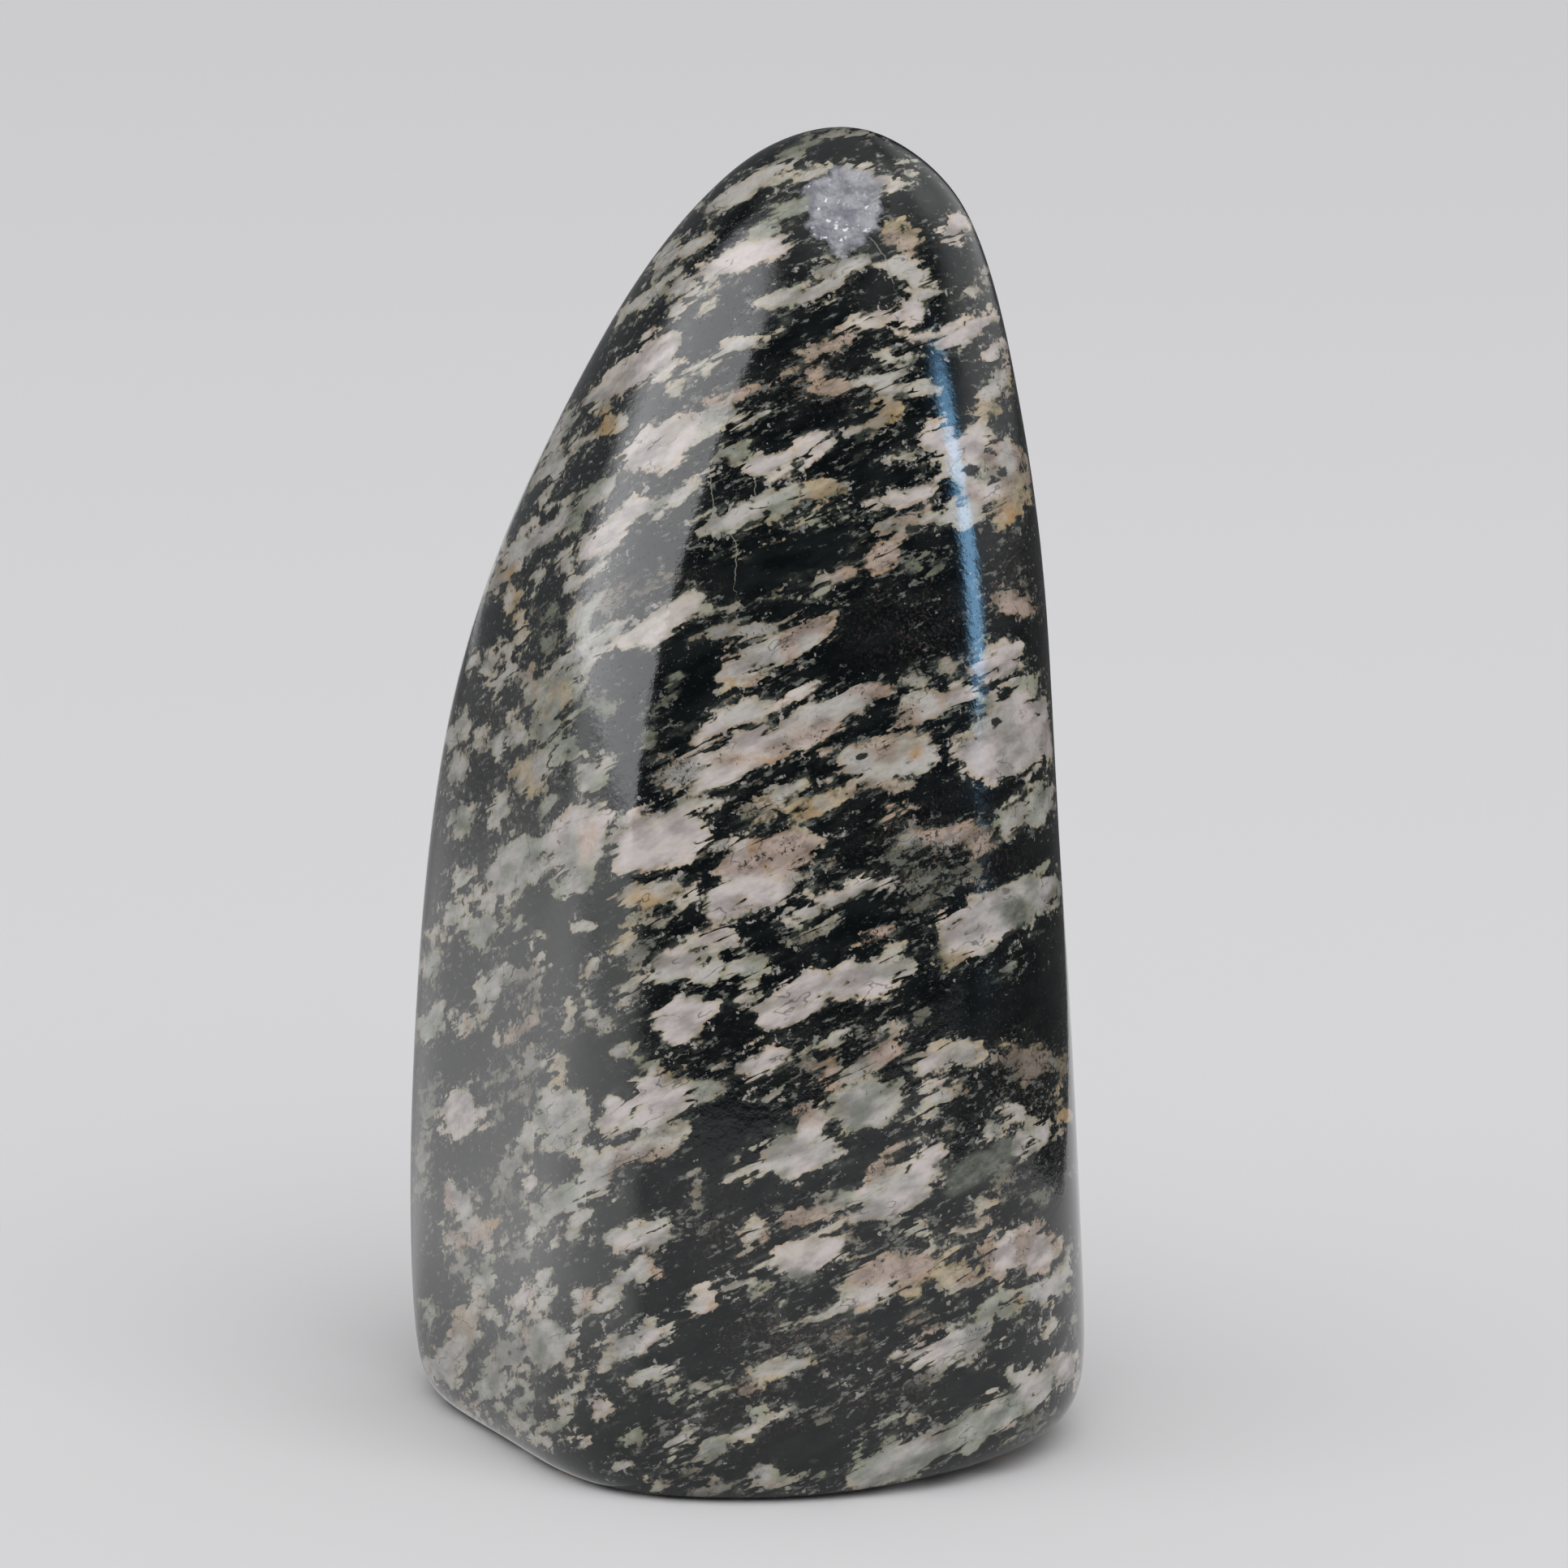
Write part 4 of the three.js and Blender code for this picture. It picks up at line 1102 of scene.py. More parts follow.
@dataclass(frozen=True)
class PaleMineral:
    """The inside of the pale lenses: clouded, washed at the rims, stained and peppered with dark grains."""

    cloudy: Cloud = Cloud(0.6, 3.0, 0.5, Span(0.32, 0.64, 0.58, 1.06))
    grain_fineness: float = 3.2
    grain_shades: Span = Span(0.0, 1.0, 0.97, 1.03)
    rim_kinds: Cloud = Cloud(0.35, 2.0, 0.5, Span(0.42, 0.6))
    warm_rim: Rgb = (0.94, 0.84, 0.64)
    green_rim: Rgb = (0.78, 0.80, 0.63)
    rim_width: Span = Span(0.0, 0.9, 1.0, 0.0)
    wash: Cloud = Cloud(0.45, 3.0, 0.5, Span(0.52, 0.66, 0.0, 0.5))
    wash_tint: Rgb = (0.85, 0.85, 0.72)
    ochre: Rgb = (0.44, 0.25, 0.085)
    ochre_places: Cloud = Cloud(1.0, 3.0, 0.55, Span(0.34, 0.6))
    ochre_share: float = 0.9
    dim: Cloud = Cloud(1.3, 4.0, 0.65, Span(0.5, 0.62))
    dim_share: float = 0.6
    dim_everywhere: float = 0.1
    dim_with_pepper: float = 0.75
    dim_tint: Rgb = (0.36, 0.35, 0.34)
    dark_grain: Rgb = (0.022, 0.023, 0.019)
    dark_grains: Cloud = Cloud(2.2, 4.0, 0.75)
    dark_clumps: Cloud = Cloud(0.75, 3.0, 0.5, Span(0.38, 0.62, 0.15, 1.4))
    dark_rarity: float = 0.69
    more_with_pepper: float = 0.14
    dark_softness: float = 0.07
    dark_share: float = 0.9
    seam: Rgb = (0.062, 0.070, 0.058)
    seams: Cloud = Cloud(0.85, 3.0, 0.5, Span(0.0, 0.024, 1.0, 0.0))
    seam_places: Cloud = Cloud(0.6, 2.0, 0.5, Span(0.4, 0.6, 0.25, 1.0))
    seam_share: float = 0.3
    vein: Rgb = (0.0085, 0.0105, 0.0105)
    veins: Cloud = Cloud(0.42, 3.0, 0.5, Span(0.0, 0.016, 1.0, 0.0))
    vein_places: Cloud = Cloud(0.3, 2.0, 0.5, Span(0.5, 0.62))
    vein_share: float = 0.6

    def colour(self, bench: NodeBench, places: RockPlaces, depth: object) -> bpy.types.NodeSocket:
        """Colour inside the pale lenses.

        Args:
            bench: Where the nodes go.
            places: Coordinates on the stone.
            depth: Depth inside the crumbled lenses.

        Returns:
            The colour.
        """
        plain, drawn = places.plain, places.drawn
        grains = bench.eased(bench.cells(plain, self.grain_fineness).outputs["Color"], self.grain_shades)
        shade = bench.times(bench.patches(drawn, self.cloudy), grains)
        tone = bench.scale(bench.read("lens_tone", "Color"), shade)
        rim_tint = bench.blend(bench.patches(plain, self.rim_kinds), self.warm_rim, self.green_rim)
        colour = bench.blend(bench.eased(depth, self.rim_width), tone, bench.tint(tone, rim_tint))
        colour = bench.blend(bench.patches(drawn, self.wash), colour, bench.tint(tone, self.wash_tint))
        ochre = bench.times(bench.read("stain"), bench.patches(plain, self.ochre_places))
        colour = bench.blend(bench.times(ochre, self.ochre_share), colour, self.ochre)

        pepper = bench.read("pepper")
        dim = bench.times(bench.patches(drawn, self.dim), self.dim_share)
        gain = bench.plus(self.dim_everywhere, bench.times(pepper, self.dim_with_pepper))
        colour = bench.blend(bench.times(dim, gain, clamp=True), colour, bench.tint(tone, self.dim_tint))
        crowd = bench.times(pepper, bench.patches(drawn, self.dark_clumps))
        rarity = bench.minus(self.dark_rarity, bench.times(crowd, self.more_with_pepper))
        common = bench.plus(rarity, self.dark_softness)
        share = bench.ease(bench.cloud(plain, self.dark_grains), rarity, common, 0.0, self.dark_share)
        colour = bench.blend(share, colour, self.dark_grain)
        held = bench.times(pepper, bench.patches(drawn, self.seam_places), clamp=True)
        seam = bench.times(bench.seams(drawn, self.seams), held)
        colour = bench.blend(bench.times(seam, self.seam_share), colour, self.seam)
        vein = bench.times(bench.seams(drawn, self.veins), bench.patches(plain, self.vein_places))
        return bench.blend(bench.times(vein, self.vein_share), colour, self.vein)


@dataclass(frozen=True)
class OpenCrystals:
    """The coarse translucent crystals of the patch that the polish left open. Lengths are in millimetres."""

    dark: Rgb = (0.20, 0.205, 0.24)
    light: Rgb = (0.39, 0.395, 0.425)
    cloudy: Cloud = Cloud(0.5, 4.0, 0.6, Span(0.36, 0.62))
    fineness: float = 1.5
    shades: Span = Span(0.0, 1.0, 0.88, 1.1)
    # Colour and places of the painted glints, white highlight specks laid into the crystals' colour.
    painted_glint: Rgb = (0.92, 0.92, 0.98)
    painted_glint_cells: Span = Span(0.93, 0.94)
    painted_glints: Cloud = Cloud(3.0, 3.0, 0.6, Span(0.5, 0.56))
    rim: Cloud = Cloud(0.33, 4.0, 0.6)
    rim_reach: float = 3.4
    edge: Span = Span(0.0, 1.3)
    share: float = 0.92
    facet_fineness: float = 0.8
    facet_height: float = 1.5
    sparkle_fineness: float = 2.3
    sparkle_height: float = 0.6
    height: float = 12.0

    def mask(self, bench: NodeBench, places: RockPlaces) -> bpy.types.NodeSocket:
        """Where the crystals are, with a ragged rim."""
        rim = bench.plus(bench.read("crystal"), bench.waves(places.plain, self.rim, self.rim_reach))
        return bench.eased(rim, self.edge)

    def colour(self, bench: NodeBench, places: RockPlaces) -> bpy.types.NodeSocket:
        """Colour of the crystals, with painted glints: white highlight specks laid into the colour.

        Args:
            bench: Where the nodes go.
            places: Coordinates on the stone.

        Returns:
            The colour.
        """
        plain = places.plain
        colour = bench.blend(bench.patches(plain, self.cloudy), self.dark, self.light)
        glassy = bench.add("ShaderNodeSeparateColor")
        bench.feed(glassy.inputs[0], bench.cells(plain, self.fineness).outputs["Color"])
        colour = bench.scale(colour, bench.eased(glassy.outputs[0], self.shades))
        # Painted glints: a few crystal cells turned near white as painted highlights.
        painted_glints = bench.times(bench.eased(glassy.outputs[1], self.painted_glint_cells), bench.patches(plain, self.painted_glints))
        return bench.blend(painted_glints, colour, self.painted_glint)

    def relief(self, bench: NodeBench, places: RockPlaces) -> bpy.types.NodeSocket:
        """How far the crystals stand out in the bump.

        Args:
            bench: Where the nodes go.
            places: Coordinates on the stone.

        Returns:
            The height, in units of the bump.
        """
        facets = bench.cells(places.plain, self.facet_fineness).outputs["Distance"]
        sparkle = bench.cells(places.plain, self.sparkle_fineness).outputs["Distance"]
        sparkle = bench.plus(
            bench.times(facets, self.facet_height), bench.times(sparkle, self.sparkle_height),
        )
        return bench.times(bench.eased(bench.read("crystal"), self.edge), bench.times(sparkle, self.height))


@dataclass(frozen=True)
class PolishedRock:
    """The high hand polish over dark rock and pale lenses. Lengths are in millimetres."""

    stretch_along: float = 0.42
    rims: LensRims = LensRims()
    dark: DarkRock = DarkRock()
    pale: PaleMineral = PaleMineral()
    crystals: OpenCrystals = OpenCrystals()
    rim_start: float = -0.1
    rim_softness: Cloud = Cloud(0.5, 2.0, 0.5, Span(0.4, 0.62, 0.14, 0.45))
    wander: Cloud = Cloud(1.3, 4.0, 0.6)
    wander_reach: float = 0.75
    sliver_edge: Span = Span(-0.05, 0.15, 0.0, 0.92)
    green: Rgb = (0.115, 0.125, 0.10)
    green_shades: Cloud = Cloud(1.4, 3.0, 0.6, Span(0.3, 0.7, 0.55, 1.5))
    green_rim: Cloud = Cloud(0.8, 3.0, 0.55)
    green_rim_reach: float = 0.9
    green_edge: Span = Span(-0.3, 1.0, 0.0, 0.85)
    crack: Rgb = (0.32, 0.30, 0.25)
    crack_wander: float = 0.35
    crack_width: Span = Span(0.02, 0.085, 0.55, 0.0)
    polish: float = 0.075
    smears: Cloud = Cloud(0.22, 3.0, 0.55, Span(0.35, 0.7, 0.0, 0.045))
    crystal_roughness: float = 0.06
    foot: Span = Span(-0.97, -0.7, 1.0, 0.0)
    foot_roughness: float = 0.42
    peel: Cloud = Cloud(1.2, 3.0, 0.55)
    pits: Cloud = Cloud(3.4, 2.0, 0.5, Span(0.66, 0.74, 0.0, -0.7))
    proud_lens: Span = Span(-0.2, 0.5, 0.0, 0.35)
    bump_height: float = 0.016
    bump_strength: float = 1.0
    refraction: float = 1.52

    def places(self, bench: NodeBench) -> RockPlaces:
        """Lay out the coordinates on the stone.

        Args:
            bench: Where the nodes go.

        Returns:
            The coordinates.
        """
        source = bench.add("ShaderNodeTexCoord")
        plain = bench.add("ShaderNodeMapping", label="millimetres")
        bench.feed(plain.inputs["Vector"], source.outputs["Object"])
        plain.inputs["Scale"].default_value = (1 / MM, 1 / MM, 1 / MM)
        turn = Vector(FOLIATION).normalized().rotation_difference(Vector((0.0, 0.0, 1.0)))
        turned = bench.add("ShaderNodeMapping", label="turned into the foliation")
        bench.feed(turned.inputs["Vector"], plain.outputs[0])
        turned.inputs["Rotation"].default_value = turn.to_euler("XYZ")
        drawn = bench.add("ShaderNodeMapping", label="drawn out along it")
        bench.feed(drawn.inputs["Vector"], turned.outputs[0])
        drawn.inputs["Scale"].default_value = (self.stretch_along, self.stretch_along, 1.0)
        return RockPlaces(plain.outputs[0], drawn.outputs[0])

    def colour(self, bench: NodeBench, places: RockPlaces, crystal: object) -> bpy.types.NodeSocket:
        """Colour of the whole skin.

        Args:
            bench: Where the nodes go.
            places: Coordinates on the stone.
            crystal: Where the open crystals are.

        Returns:
            The colour.
        """
        plain, drawn = places.plain, places.drawn
        depth = self.rims.depth(bench, places)
        rock = self.dark.colour(bench, places, depth)
        pale = self.pale.colour(bench, places, depth)
        pale_share = bench.ease(depth, self.rim_start, bench.patches(plain, self.rim_softness))
        colour = bench.blend(pale_share, rock, pale)

        wander = bench.waves(drawn, self.wander, self.wander_reach)
        sliver = bench.eased(bench.plus(bench.read("sliver"), wander), self.sliver_edge)
        colour = bench.blend(sliver, colour, self.dark.dark)
        green_rim = bench.waves(drawn, self.green_rim, self.green_rim_reach)
        green_share = bench.eased(bench.plus(bench.read("green_patch"), green_rim), self.green_edge)
        green = bench.scale(self.green, bench.patches(drawn, self.green_shades))
        colour = bench.blend(green_share, colour, green)

        crystal_share = bench.times(crystal, self.crystals.share)
        colour = bench.blend(crystal_share, colour, self.crystals.colour(bench, places))
        crack_side = bench.plus(bench.read("crack"), bench.times(wander, self.crack_wander))
        crack = bench.eased(bench.math("ABSOLUTE", crack_side), self.crack_width)
        return bench.blend(crack, colour, self.crack)

    def roughness(self, bench: NodeBench, places: RockPlaces, crystal: object) -> bpy.types.NodeSocket:
        """Roughness: a faintly smeared polish, rougher in the crystals and dull under the foot.

        Args:
            bench: Where the nodes go.
            places: Coordinates on the stone.
            crystal: Where the open crystals are.

        Returns:
            The roughness.
        """
        geometry = bench.add("ShaderNodeNewGeometry")
        down = bench.add("ShaderNodeSeparateXYZ")
        bench.feed(down.inputs[0], geometry.outputs["Normal"])
        foot = bench.times(bench.eased(down.outputs["Z"], self.foot), self.foot_roughness)
        polish = bench.plus(self.polish, bench.patches(places.plain, self.smears))
        polish = bench.plus(polish, bench.times(crystal, self.crystal_roughness))
        return bench.math("ADD", polish, foot, clamp=True)

    def bump(self, bench: NodeBench, places: RockPlaces) -> bpy.types.NodeSocket:
        """Bump: fine unevenness of the polish, pits, lenses that stand proud, and crystal facets.

        Args:
            bench: Where the nodes go.
            places: Coordinates on the stone.

        Returns:
            The normal.
        """
        bump = bench.add("ShaderNodeBump")
        bump.inputs["Strength"].default_value = self.bump_strength
        bump.inputs["Distance"].default_value = self.bump_height * MM
        bench.feed(bump.inputs["Height"], bench.plus(
            bench.cloud(places.plain, self.peel),
            bench.patches(places.plain, self.pits),
            bench.eased(bench.read("lens_depth"), self.proud_lens),
            self.crystals.relief(bench, places),
        ))
        return bump.outputs[0]

    def make(self) -> bpy.types.Material:
        """Make the finish.

        Returns:
            The material.
        """
        material = bpy.data.materials.new("polished_rock")
        material.use_nodes = True
        bench = NodeBench(material.node_tree)
        places = self.places(bench)
        crystal = self.crystals.mask(bench, places)
        shader = bench.add("ShaderNodeBsdfPrincipled")
        shader.inputs["IOR"].default_value = self.refraction
        bench.feed(shader.inputs["Base Color"], self.colour(bench, places, crystal))
        bench.feed(shader.inputs["Roughness"], self.roughness(bench, places, crystal))
        bench.feed(shader.inputs["Normal"], self.bump(bench, places))
        bench.finish("ShaderNodeOutputMaterial", shader.outputs[0])
        return material


@dataclass
class Stone:
    """The stone itself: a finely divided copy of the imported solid, with its open crystal patch."""

    viewpoint: Viewpoint
    node: str = "stone"
    divisions: int = 2
    crumble: float = 0.28
    crumble_rim: tuple[float, float] = (0.1, 1.4)
    crumbs: tuple[Mottle, ...] = (Mottle(1.1, 5.0, 0.6), Mottle(0.55, 15.0, 0.4))
    least_drop: float = 0.1
    merge_distance: float = 1e-6

    def refined_copy(self) -> bpy.types.Object:
        """Copy the solid's mesh, join its loose triangles and divide it finely.

        Returns:
            The new piece, at the origin.
        """
        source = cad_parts[self.node]
        mesh = source.data.copy()
        mesh.name = "polished_skin"
        mesh.materials.clear()
        piece = bpy.data.objects.new("polished_skin", mesh)
        bpy.context.scene.collection.objects.link(piece)
        bpy.ops.object.select_all(action="DESELECT")
        piece.select_set(True)
        bpy.context.view_layer.objects.active = piece
        bpy.ops.object.mode_set(mode="EDIT")
        bpy.ops.mesh.select_all(action="SELECT")
        bpy.ops.mesh.remove_doubles(threshold=self.merge_distance)
        bpy.ops.mesh.tris_convert_to_quads(face_threshold=math.pi, shape_threshold=math.pi)
        bpy.ops.object.mode_set(mode="OBJECT")
        divide = piece.modifiers.new("divide", "SUBSURF")
        divide.levels = self.divisions
        divide.render_levels = self.divisions
        bpy.ops.object.modifier_apply(modifier=divide.name)
        bpy.ops.object.shade_smooth()
        return piece

    def points_and_normals(self, mesh: bpy.types.Mesh) -> tuple[np.ndarray, np.ndarray]:
        """Points of a mesh in millimetres, and its outward normals."""
        points = np.empty(len(mesh.vertices) * 3)
        normals = np.empty(len(mesh.vertices) * 3)
        mesh.vertices.foreach_get("co", points)
        mesh.vertex_normals.foreach_get("vector", normals)
        return points.reshape(-1, 3) / MM, normals.reshape(-1, 3)

    def open_crystals(self, mesh: bpy.types.Mesh, fields: SkinFields) -> None:
        """Break the skin of the crystal patch into small uneven facets, a little below the polish."""
        points, normals = self.points_and_normals(mesh)
        inside = smoothstep(fields.crystal, *self.crumble_rim)
        uneven = sum(np.abs(crumbs.at(points)) for crumbs in self.crumbs)
        drop = inside * self.crumble * (uneven + self.least_drop)
        moved = (points - normals * drop[:, None]) * MM
        mesh.vertices.foreach_set("co", moved.ravel())
        mesh.update()

    def write_fields(self, mesh: bpy.types.Mesh, fields: SkinFields) -> None:
        """Store the fields of the skin as attributes of the mesh."""
        for name, values in vars(fields).items():
            if values.ndim == 1:
                attribute = mesh.attributes.new(name, "FLOAT", "POINT")
                attribute.data.foreach_set("value", values.astype(np.float32))
            else:
                attribute = mesh.attributes.new(name, "FLOAT_COLOR", "POINT")
                rgba = np.column_stack([values, np.ones(len(values))])
                attribute.data.foreach_set("color", rgba.astype(np.float32).ravel())

    def build(self) -> bpy.types.Object:
        """Build and dress the stone.

        Returns:
            The finished piece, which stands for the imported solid.
        """
        piece = self.refined_copy()
        points, normals = self.points_and_normals(piece.data)
        fields = Markings(self.viewpoint, points, normals).work_out()
        self.open_crystals(piece.data, fields)
        self.write_fields(piece.data, fields)
        piece.data.materials.append(PolishedRock().make())
        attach(piece, "root")
        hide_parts(self.node)
        return piece


UPWARD: Rgb = (0.0, 0.0, 1.0)

# How squarely a direction has to meet a patch's plane to show it at all, and fully.
LEAST_AHEAD = 0.02
FULLY_AHEAD = 0.1


@dataclass(frozen=True)
class WindowPatch:
    """A bright rectangle on an upright plane a metre away, as the polish mirrors it.

    The bearing is in degrees from the front, positive to the right. The edges are in metres from the
    foot of the perpendicular, and each edge has its own softness.
    """

    bearing: float
    left: float
    right: float
    bottom: float
    top: float
    colour: Rgb
    strength: float
    soft_left: float = 0.05
    soft_right: float = 0.05
    soft_bottom: float = 0.05
    soft_top: float = 0.05
    lean: float = 0.0

    def edge(
        self, bench: NodeBench, place: object, middle: float, soft: float, inward: bool,
    ) -> bpy.types.NodeSocket:
        """Soft edge of the patch: dark before it and bright past it, or the other way round."""
        start, end = (0.0, 1.0) if inward else (1.0, 0.0)
        return bench.ease(place, middle - soft, middle + soft, start, end)

    def glow(self, bench: NodeBench, direction: object) -> bpy.types.NodeSocket:
        """Colour that the patch adds in a direction.

        Args:
            bench: Where the nodes go.
            direction: Direction from the stone, of length 1.

        Returns:
            The colour.
        """
        bearing = math.radians(self.bearing)
        outward = (math.sin(bearing), -math.cos(bearing), 0.0)
        sideways = (math.cos(bearing), math.sin(bearing), 0.0)
        ahead = bench.vector("DOT_PRODUCT", direction, outward).outputs["Value"]
        safe = bench.math("MAXIMUM", ahead, LEAST_AHEAD)
        x = bench.math("DIVIDE", bench.vector("DOT_PRODUCT", direction, sideways).outputs["Value"], safe)
        y = bench.math("DIVIDE", bench.vector("DOT_PRODUCT", direction, UPWARD).outputs["Value"], safe)
        x = bench.plus(x, bench.times(y, self.lean))
        share = self.edge(bench, x, self.left, self.soft_left, inward=True)
        share = bench.times(share, self.edge(bench, x, self.right, self.soft_right, inward=False))
        share = bench.times(share, self.edge(bench, y, self.bottom, self.soft_bottom, inward=True))
        share = bench.times(share, self.edge(bench, y, self.top, self.soft_top, inward=False))
        share = bench.times(share, bench.ease(ahead, LEAST_AHEAD, FULLY_AHEAD))
        return bench.scale(tuple(part * self.strength for part in self.colour), share)


@dataclass(frozen=True)
class Studio:
    """Plain pale floor, soft light, and the room that the polish mirrors."""

    floor_half: float = 6.0
    floor_colour: Rgb = (0.79, 0.785, 0.80)
    room_radius: float = 5.5
    room_shade: Rgb = (0.042, 0.045, 0.050)
    sky: Rgb = (0.60, 0.595, 0.62)
    fill: Rgb = (0.42, 0.42, 0.42)
    sun_spread: float = math.radians(55.0)
    ceiling: Span = Span(0.76, 0.95, 0.0, 0.5)
    cloth_height: float = 0.2
    lit_slant: Span = Span(-1.15, -0.6)
    lit_from: float = 0.02
    plain_floor: float = 0.6
    near_cloth: float = 1.7
    least_leftward: float = 0.01
    backward: Span = Span(0.25, 0.85)
    back_cloth: Span = Span(0.1, 1.4, 0.95, 0.3)
    behind_cloth: Span = Span(0.9, 1.9, 1.0, 0.45)
    shaded_cloth: Span = Span(0.028, 0.13, 0.35, 1.0)
    dark_cloth: float = 0.07
    lamp_aim: Rgb = (0.0, 0.0, 0.06)
    window: WindowPatch = WindowPatch(
        -80, -0.93, 0.32, 0.125, 1.9, (1.0, 1.0, 1.02), 3.6,
        soft_left=0.18, soft_right=0.02, soft_top=0.5, soft_bottom=0.03, lean=-0.5,
    )
    lit_wall: WindowPatch = WindowPatch(
        -80, -0.70, 0.62, -0.6, 0.11, (1.0, 1.0, 1.0), 1.5,
        soft_left=0.2, soft_right=0.25, soft_bottom=0.1, soft_top=0.03,
    )
    blue_strip: WindowPatch = WindowPatch(
        76, 0.165, 0.29, 0.04, 0.45, (0.30, 0.63, 1.0), 8.0,
        soft_left=0.03, soft_right=0.03, soft_bottom=0.02, soft_top=0.12, lean=0.7,
    )
    back_left: WindowPatch = WindowPatch(
        -145, -0.7, 0.5, -0.2, 1.6, (1.0, 1.0, 1.0), 0.16,
        soft_left=0.3, soft_right=0.2, soft_bottom=0.1, soft_top=0.4,
    )
    back_right: WindowPatch = WindowPatch(
        118, -0.6, 0.8, 0.1, 1.6, (1.0, 1.0, 1.0), 0.9,
        soft_left=0.3, soft_right=0.3, soft_bottom=0.15, soft_top=0.4,
    )
    high_right: WindowPatch = WindowPatch(
        70, -0.7, 1.0, 1.0, 4.0, (1.0, 1.0, 1.0), 0.5,
        soft_left=0.4, soft_right=0.4, soft_bottom=0.3, soft_top=0.6,
    )

    def lay_floor(self) -> bpy.types.Object:
        """Lay the pale floor.

        Returns:
            The floor.
        """
        bpy.ops.object.select_all(action="DESELECT")
        bpy.ops.mesh.primitive_plane_add(size=2 * self.floor_half)
        floor = bpy.context.active_object
        floor.name = "floor"
        material = bpy.data.materials.new("pale_cloth")
        material.use_nodes = True
        shader = material.node_tree.nodes["Principled BSDF"]
        shader.inputs["Base Color"].default_value = (*self.floor_colour, 1.0)
        shader.inputs["Roughness"].default_value = 1.0
        shader.inputs["Specular IOR Level"].default_value = 0.0
        floor.data.materials.append(material)
        return floor

    def light_world(self) -> None:
        """Light the scene evenly from all round, without showing in the polish."""
        world = bpy.data.worlds.new("soft_room")
        world.use_nodes = True
        bench = NodeBench(world.node_tree)
        path = bench.add("ShaderNodeLightPath")
        colour = bench.blend(path.outputs["Is Camera Ray"], self.fill, self.sky)
        background = bench.add("ShaderNodeBackground")
        bench.feed(background.inputs["Color"], colour)
        bench.finish("ShaderNodeOutputWorld", background.outputs[0])
        world.cycles_visibility.glossy = False
        bpy.context.scene.world = world

    def hang_room(self) -> bpy.types.Object:
        """Hang the room that only the polish mirrors: a dark front, a soft window and a pale back.

        Returns:
            The room.
        """
        bpy.ops.object.select_all(action="DESELECT")
        bpy.ops.mesh.primitive_uv_sphere_add(radius=self.room_radius, segments=48, ring_count=24)
        room = bpy.context.active_object
        room.name = "mirrored_room"
        material = bpy.data.materials.new("mirrored_room")
        material.use_nodes = True
        bench = NodeBench(material.node_tree)
        source = bench.add("ShaderNodeTexCoord")
        direction = bench.vector("NORMALIZE", source.outputs["Object"], (0, 0, 0)).outputs[0]
        height = bench.add("ShaderNodeSeparateXYZ")
        bench.feed(height.inputs[0], direction)
        above = bench.eased(height.outputs["Z"], self.ceiling)
        glow = bench.vector("ADD", self.room_shade, bench.scale((1.0, 1.0, 1.0), above)).outputs[0]
        walls = (self.back_left, self.back_right, self.high_right, self.window, self.lit_wall)
        for patch in (*walls, self.blue_strip):
            glow = bench.vector("ADD", glow, patch.glow(bench, direction)).outputs[0]
        light = bench.add("ShaderNodeEmission")
        bench.feed(light.inputs["Color"], glow)
        bench.finish("ShaderNodeOutputMaterial", light.outputs[0])
        material.cycles.emission_sampling = "NONE"
        room.data.materials.append(material)
        self.show_in_polish_only(room)
        return room

    def spread_cloth(self, name: str, corners: tuple[tuple[float, float], ...]) -> NodeBench:
        """Spread a thin flat cloth on the floor that only the polish mirrors.

        Args:
            name: Name of the cloth.
            corners: Its corners in metres, in order.

        Returns:
            The bench of its finish, still empty.
        """
        mesh = bpy.data.meshes.new(name)
        points = [(x, y, self.cloth_height * MM) for x, y in corners]
        mesh.from_pydata(points, [], [tuple(range(len(points)))])
        cloth = bpy.data.objects.new(name, mesh)
        bpy.context.scene.collection.objects.link(cloth)
        material = bpy.data.materials.new(name)
        material.use_nodes = True
        material.cycles.emission_sampling = "NONE"
        mesh.materials.append(material)
        self.show_in_polish_only(cloth)
        return NodeBench(material.node_tree)

    def spread_lit_cloth(self) -> None:
        """Spread the window's light on the floor at the left, dimmer towards the back and far away."""
        bench = self.spread_cloth("lit_cloth", (
            (-0.008, -0.030), (-0.95, -1.10), (-3.0, -1.6), (-3.0, 3.5), (-0.3, 1.2),
            (-0.030, 0.026), (-0.030, 0.012), (-0.022, -0.006), (-0.014, -0.022),
        ))
        source = bench.add("ShaderNodeTexCoord")
        place = bench.add("ShaderNodeSeparateXYZ")
        bench.feed(place.inputs[0], source.outputs["Object"])
        leftward = bench.math("MAXIMUM", bench.times(place.outputs["X"], -1.0), self.least_leftward)
        slant = bench.math("DIVIDE", place.outputs["Y"], leftward)
        away = bench.vector("LENGTH", source.outputs["Object"], (0.0, 0.0, 0.0)).outputs["Value"]
        behind = bench.times(bench.eased(away, self.back_cloth), bench.eased(slant, self.behind_cloth))
        share = bench.times(bench.eased(slant, self.backward), bench.minus(behind, self.near_cloth))
        lit = bench.times(bench.plus(share, self.near_cloth), bench.eased(away, self.shaded_cloth))
        forward = bench.math("DIVIDE", bench.plus(place.outputs["Y"], self.lit_from), leftward)
        lit = bench.times(bench.minus(lit, self.plain_floor), bench.eased(forward, self.lit_slant))
        light = bench.add("ShaderNodeEmission")
        bench.feed(light.inputs["Strength"], bench.plus(lit, self.plain_floor))
        bench.finish("ShaderNodeOutputMaterial", light.outputs[0])

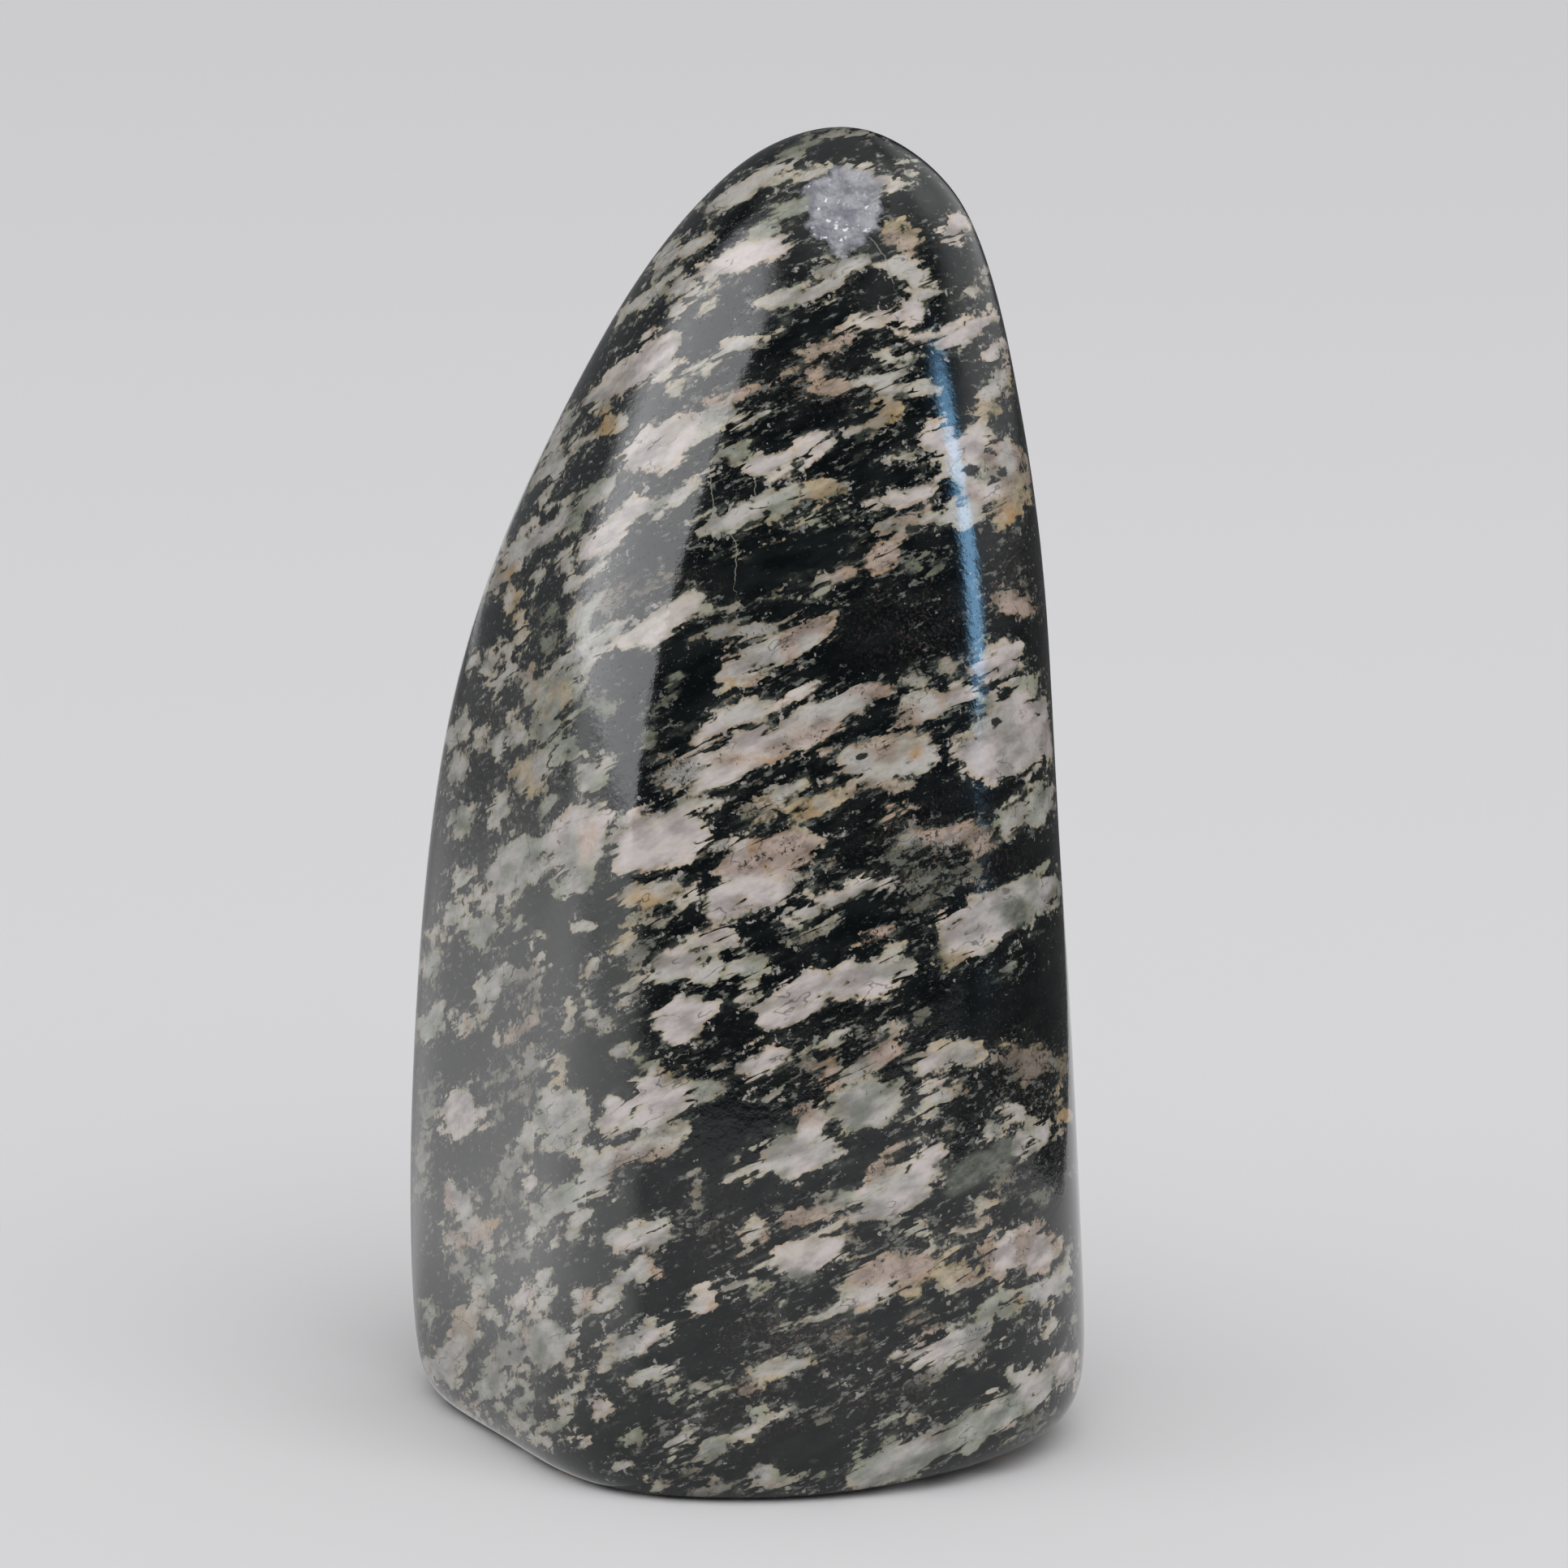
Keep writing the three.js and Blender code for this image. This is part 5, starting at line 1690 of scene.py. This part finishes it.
    def spread_dark_cloth(self) -> None:
        """Lay the unlit floor that stands behind the stone at the right."""
        bench = self.spread_cloth("dark_cloth", (
            (0.42, -0.3), (5.0, -1.2), (5.0, 5.0), (0.06, 5.0), (0.06, 0.4), (0.13, 0.1), (0.42, 0.0),
        ))
        light = bench.add("ShaderNodeEmission")
        light.inputs["Strength"].default_value = self.dark_cloth
        bench.finish("ShaderNodeOutputMaterial", light.outputs[0])

    def show_in_polish_only(self, thing: bpy.types.Object) -> None:
        """Let a thing of the studio be seen in the polish alone."""
        thing.visible_camera = False
        thing.visible_diffuse = False
        thing.visible_shadow = False
        thing.visible_transmission = False
        thing.visible_volume_scatter = False

    def hang_sun(self, name: str, bearing: float, height: float, strength: float) -> bpy.types.Object:
        """Hang a very soft sun that the polish doesn't mirror.

        Args:
            name: Name of the sun.
            bearing: Degrees from the front, positive to the right.
            height: Degrees above the floor.
            strength: Light that it gives square on, in watts for each square metre.

        Returns:
            The sun.
        """
        data = bpy.data.lights.new(name, "SUN")
        data.energy = strength
        data.angle = self.sun_spread
        sun = bpy.data.objects.new(name, data)
        sun.rotation_euler = (math.radians(90.0 - height), 0.0, math.radians(bearing))
        sun.visible_camera = False
        sun.visible_glossy = False
        bpy.context.scene.collection.objects.link(sun)
        return sun

    def hang_lamp(self, name: str, place: Rgb, size: float, watts: float) -> bpy.types.Object:
        """Hang a square soft lamp that the polish doesn't mirror.

        Args:
            name: Name of the lamp.
            place: Where it hangs, in metres.
            size: Length of its side.
            watts: Its power.

        Returns:
            The lamp.
        """
        data = bpy.data.lights.new(name, "AREA")
        data.shape = "SQUARE"
        data.size = size
        data.energy = watts
        lamp = bpy.data.objects.new(name, data)
        lamp.location = place
        aim = Vector(self.lamp_aim) - Vector(place)
        lamp.rotation_euler = aim.to_track_quat("-Z", "Y").to_euler()
        lamp.visible_camera = False
        lamp.visible_glossy = False
        bpy.context.scene.collection.objects.link(lamp)
        return lamp

    def build(self) -> None:
        """Set up the whole studio."""
        self.lay_floor()
        self.light_world()
        self.hang_room()
        self.spread_lit_cloth()
        self.spread_dark_cloth()
        self.hang_sun("right_light", 25.0, 52.0, 0.95)
        self.hang_sun("left_light", -55.0, 50.0, 0.40)
        self.hang_lamp("soft_light", (0.5, -1.2, 1.5), 2.2, 8.0)
        bpy.context.scene.view_settings.view_transform = "Standard"
        bpy.context.scene.view_settings.look = "None"


def main() -> None:
    """Build the stone and its studio."""
    logging.basicConfig(level=logging.INFO)
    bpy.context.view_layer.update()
    viewpoint = Viewpoint()
    viewpoint.make_camera()
    Studio().build()
    LOG.info("studio ready")
    stone = Stone(viewpoint).build()
    LOG.info("%s: %d points", stone.name, len(stone.data.vertices))


if __name__ == "__main__":
    main()
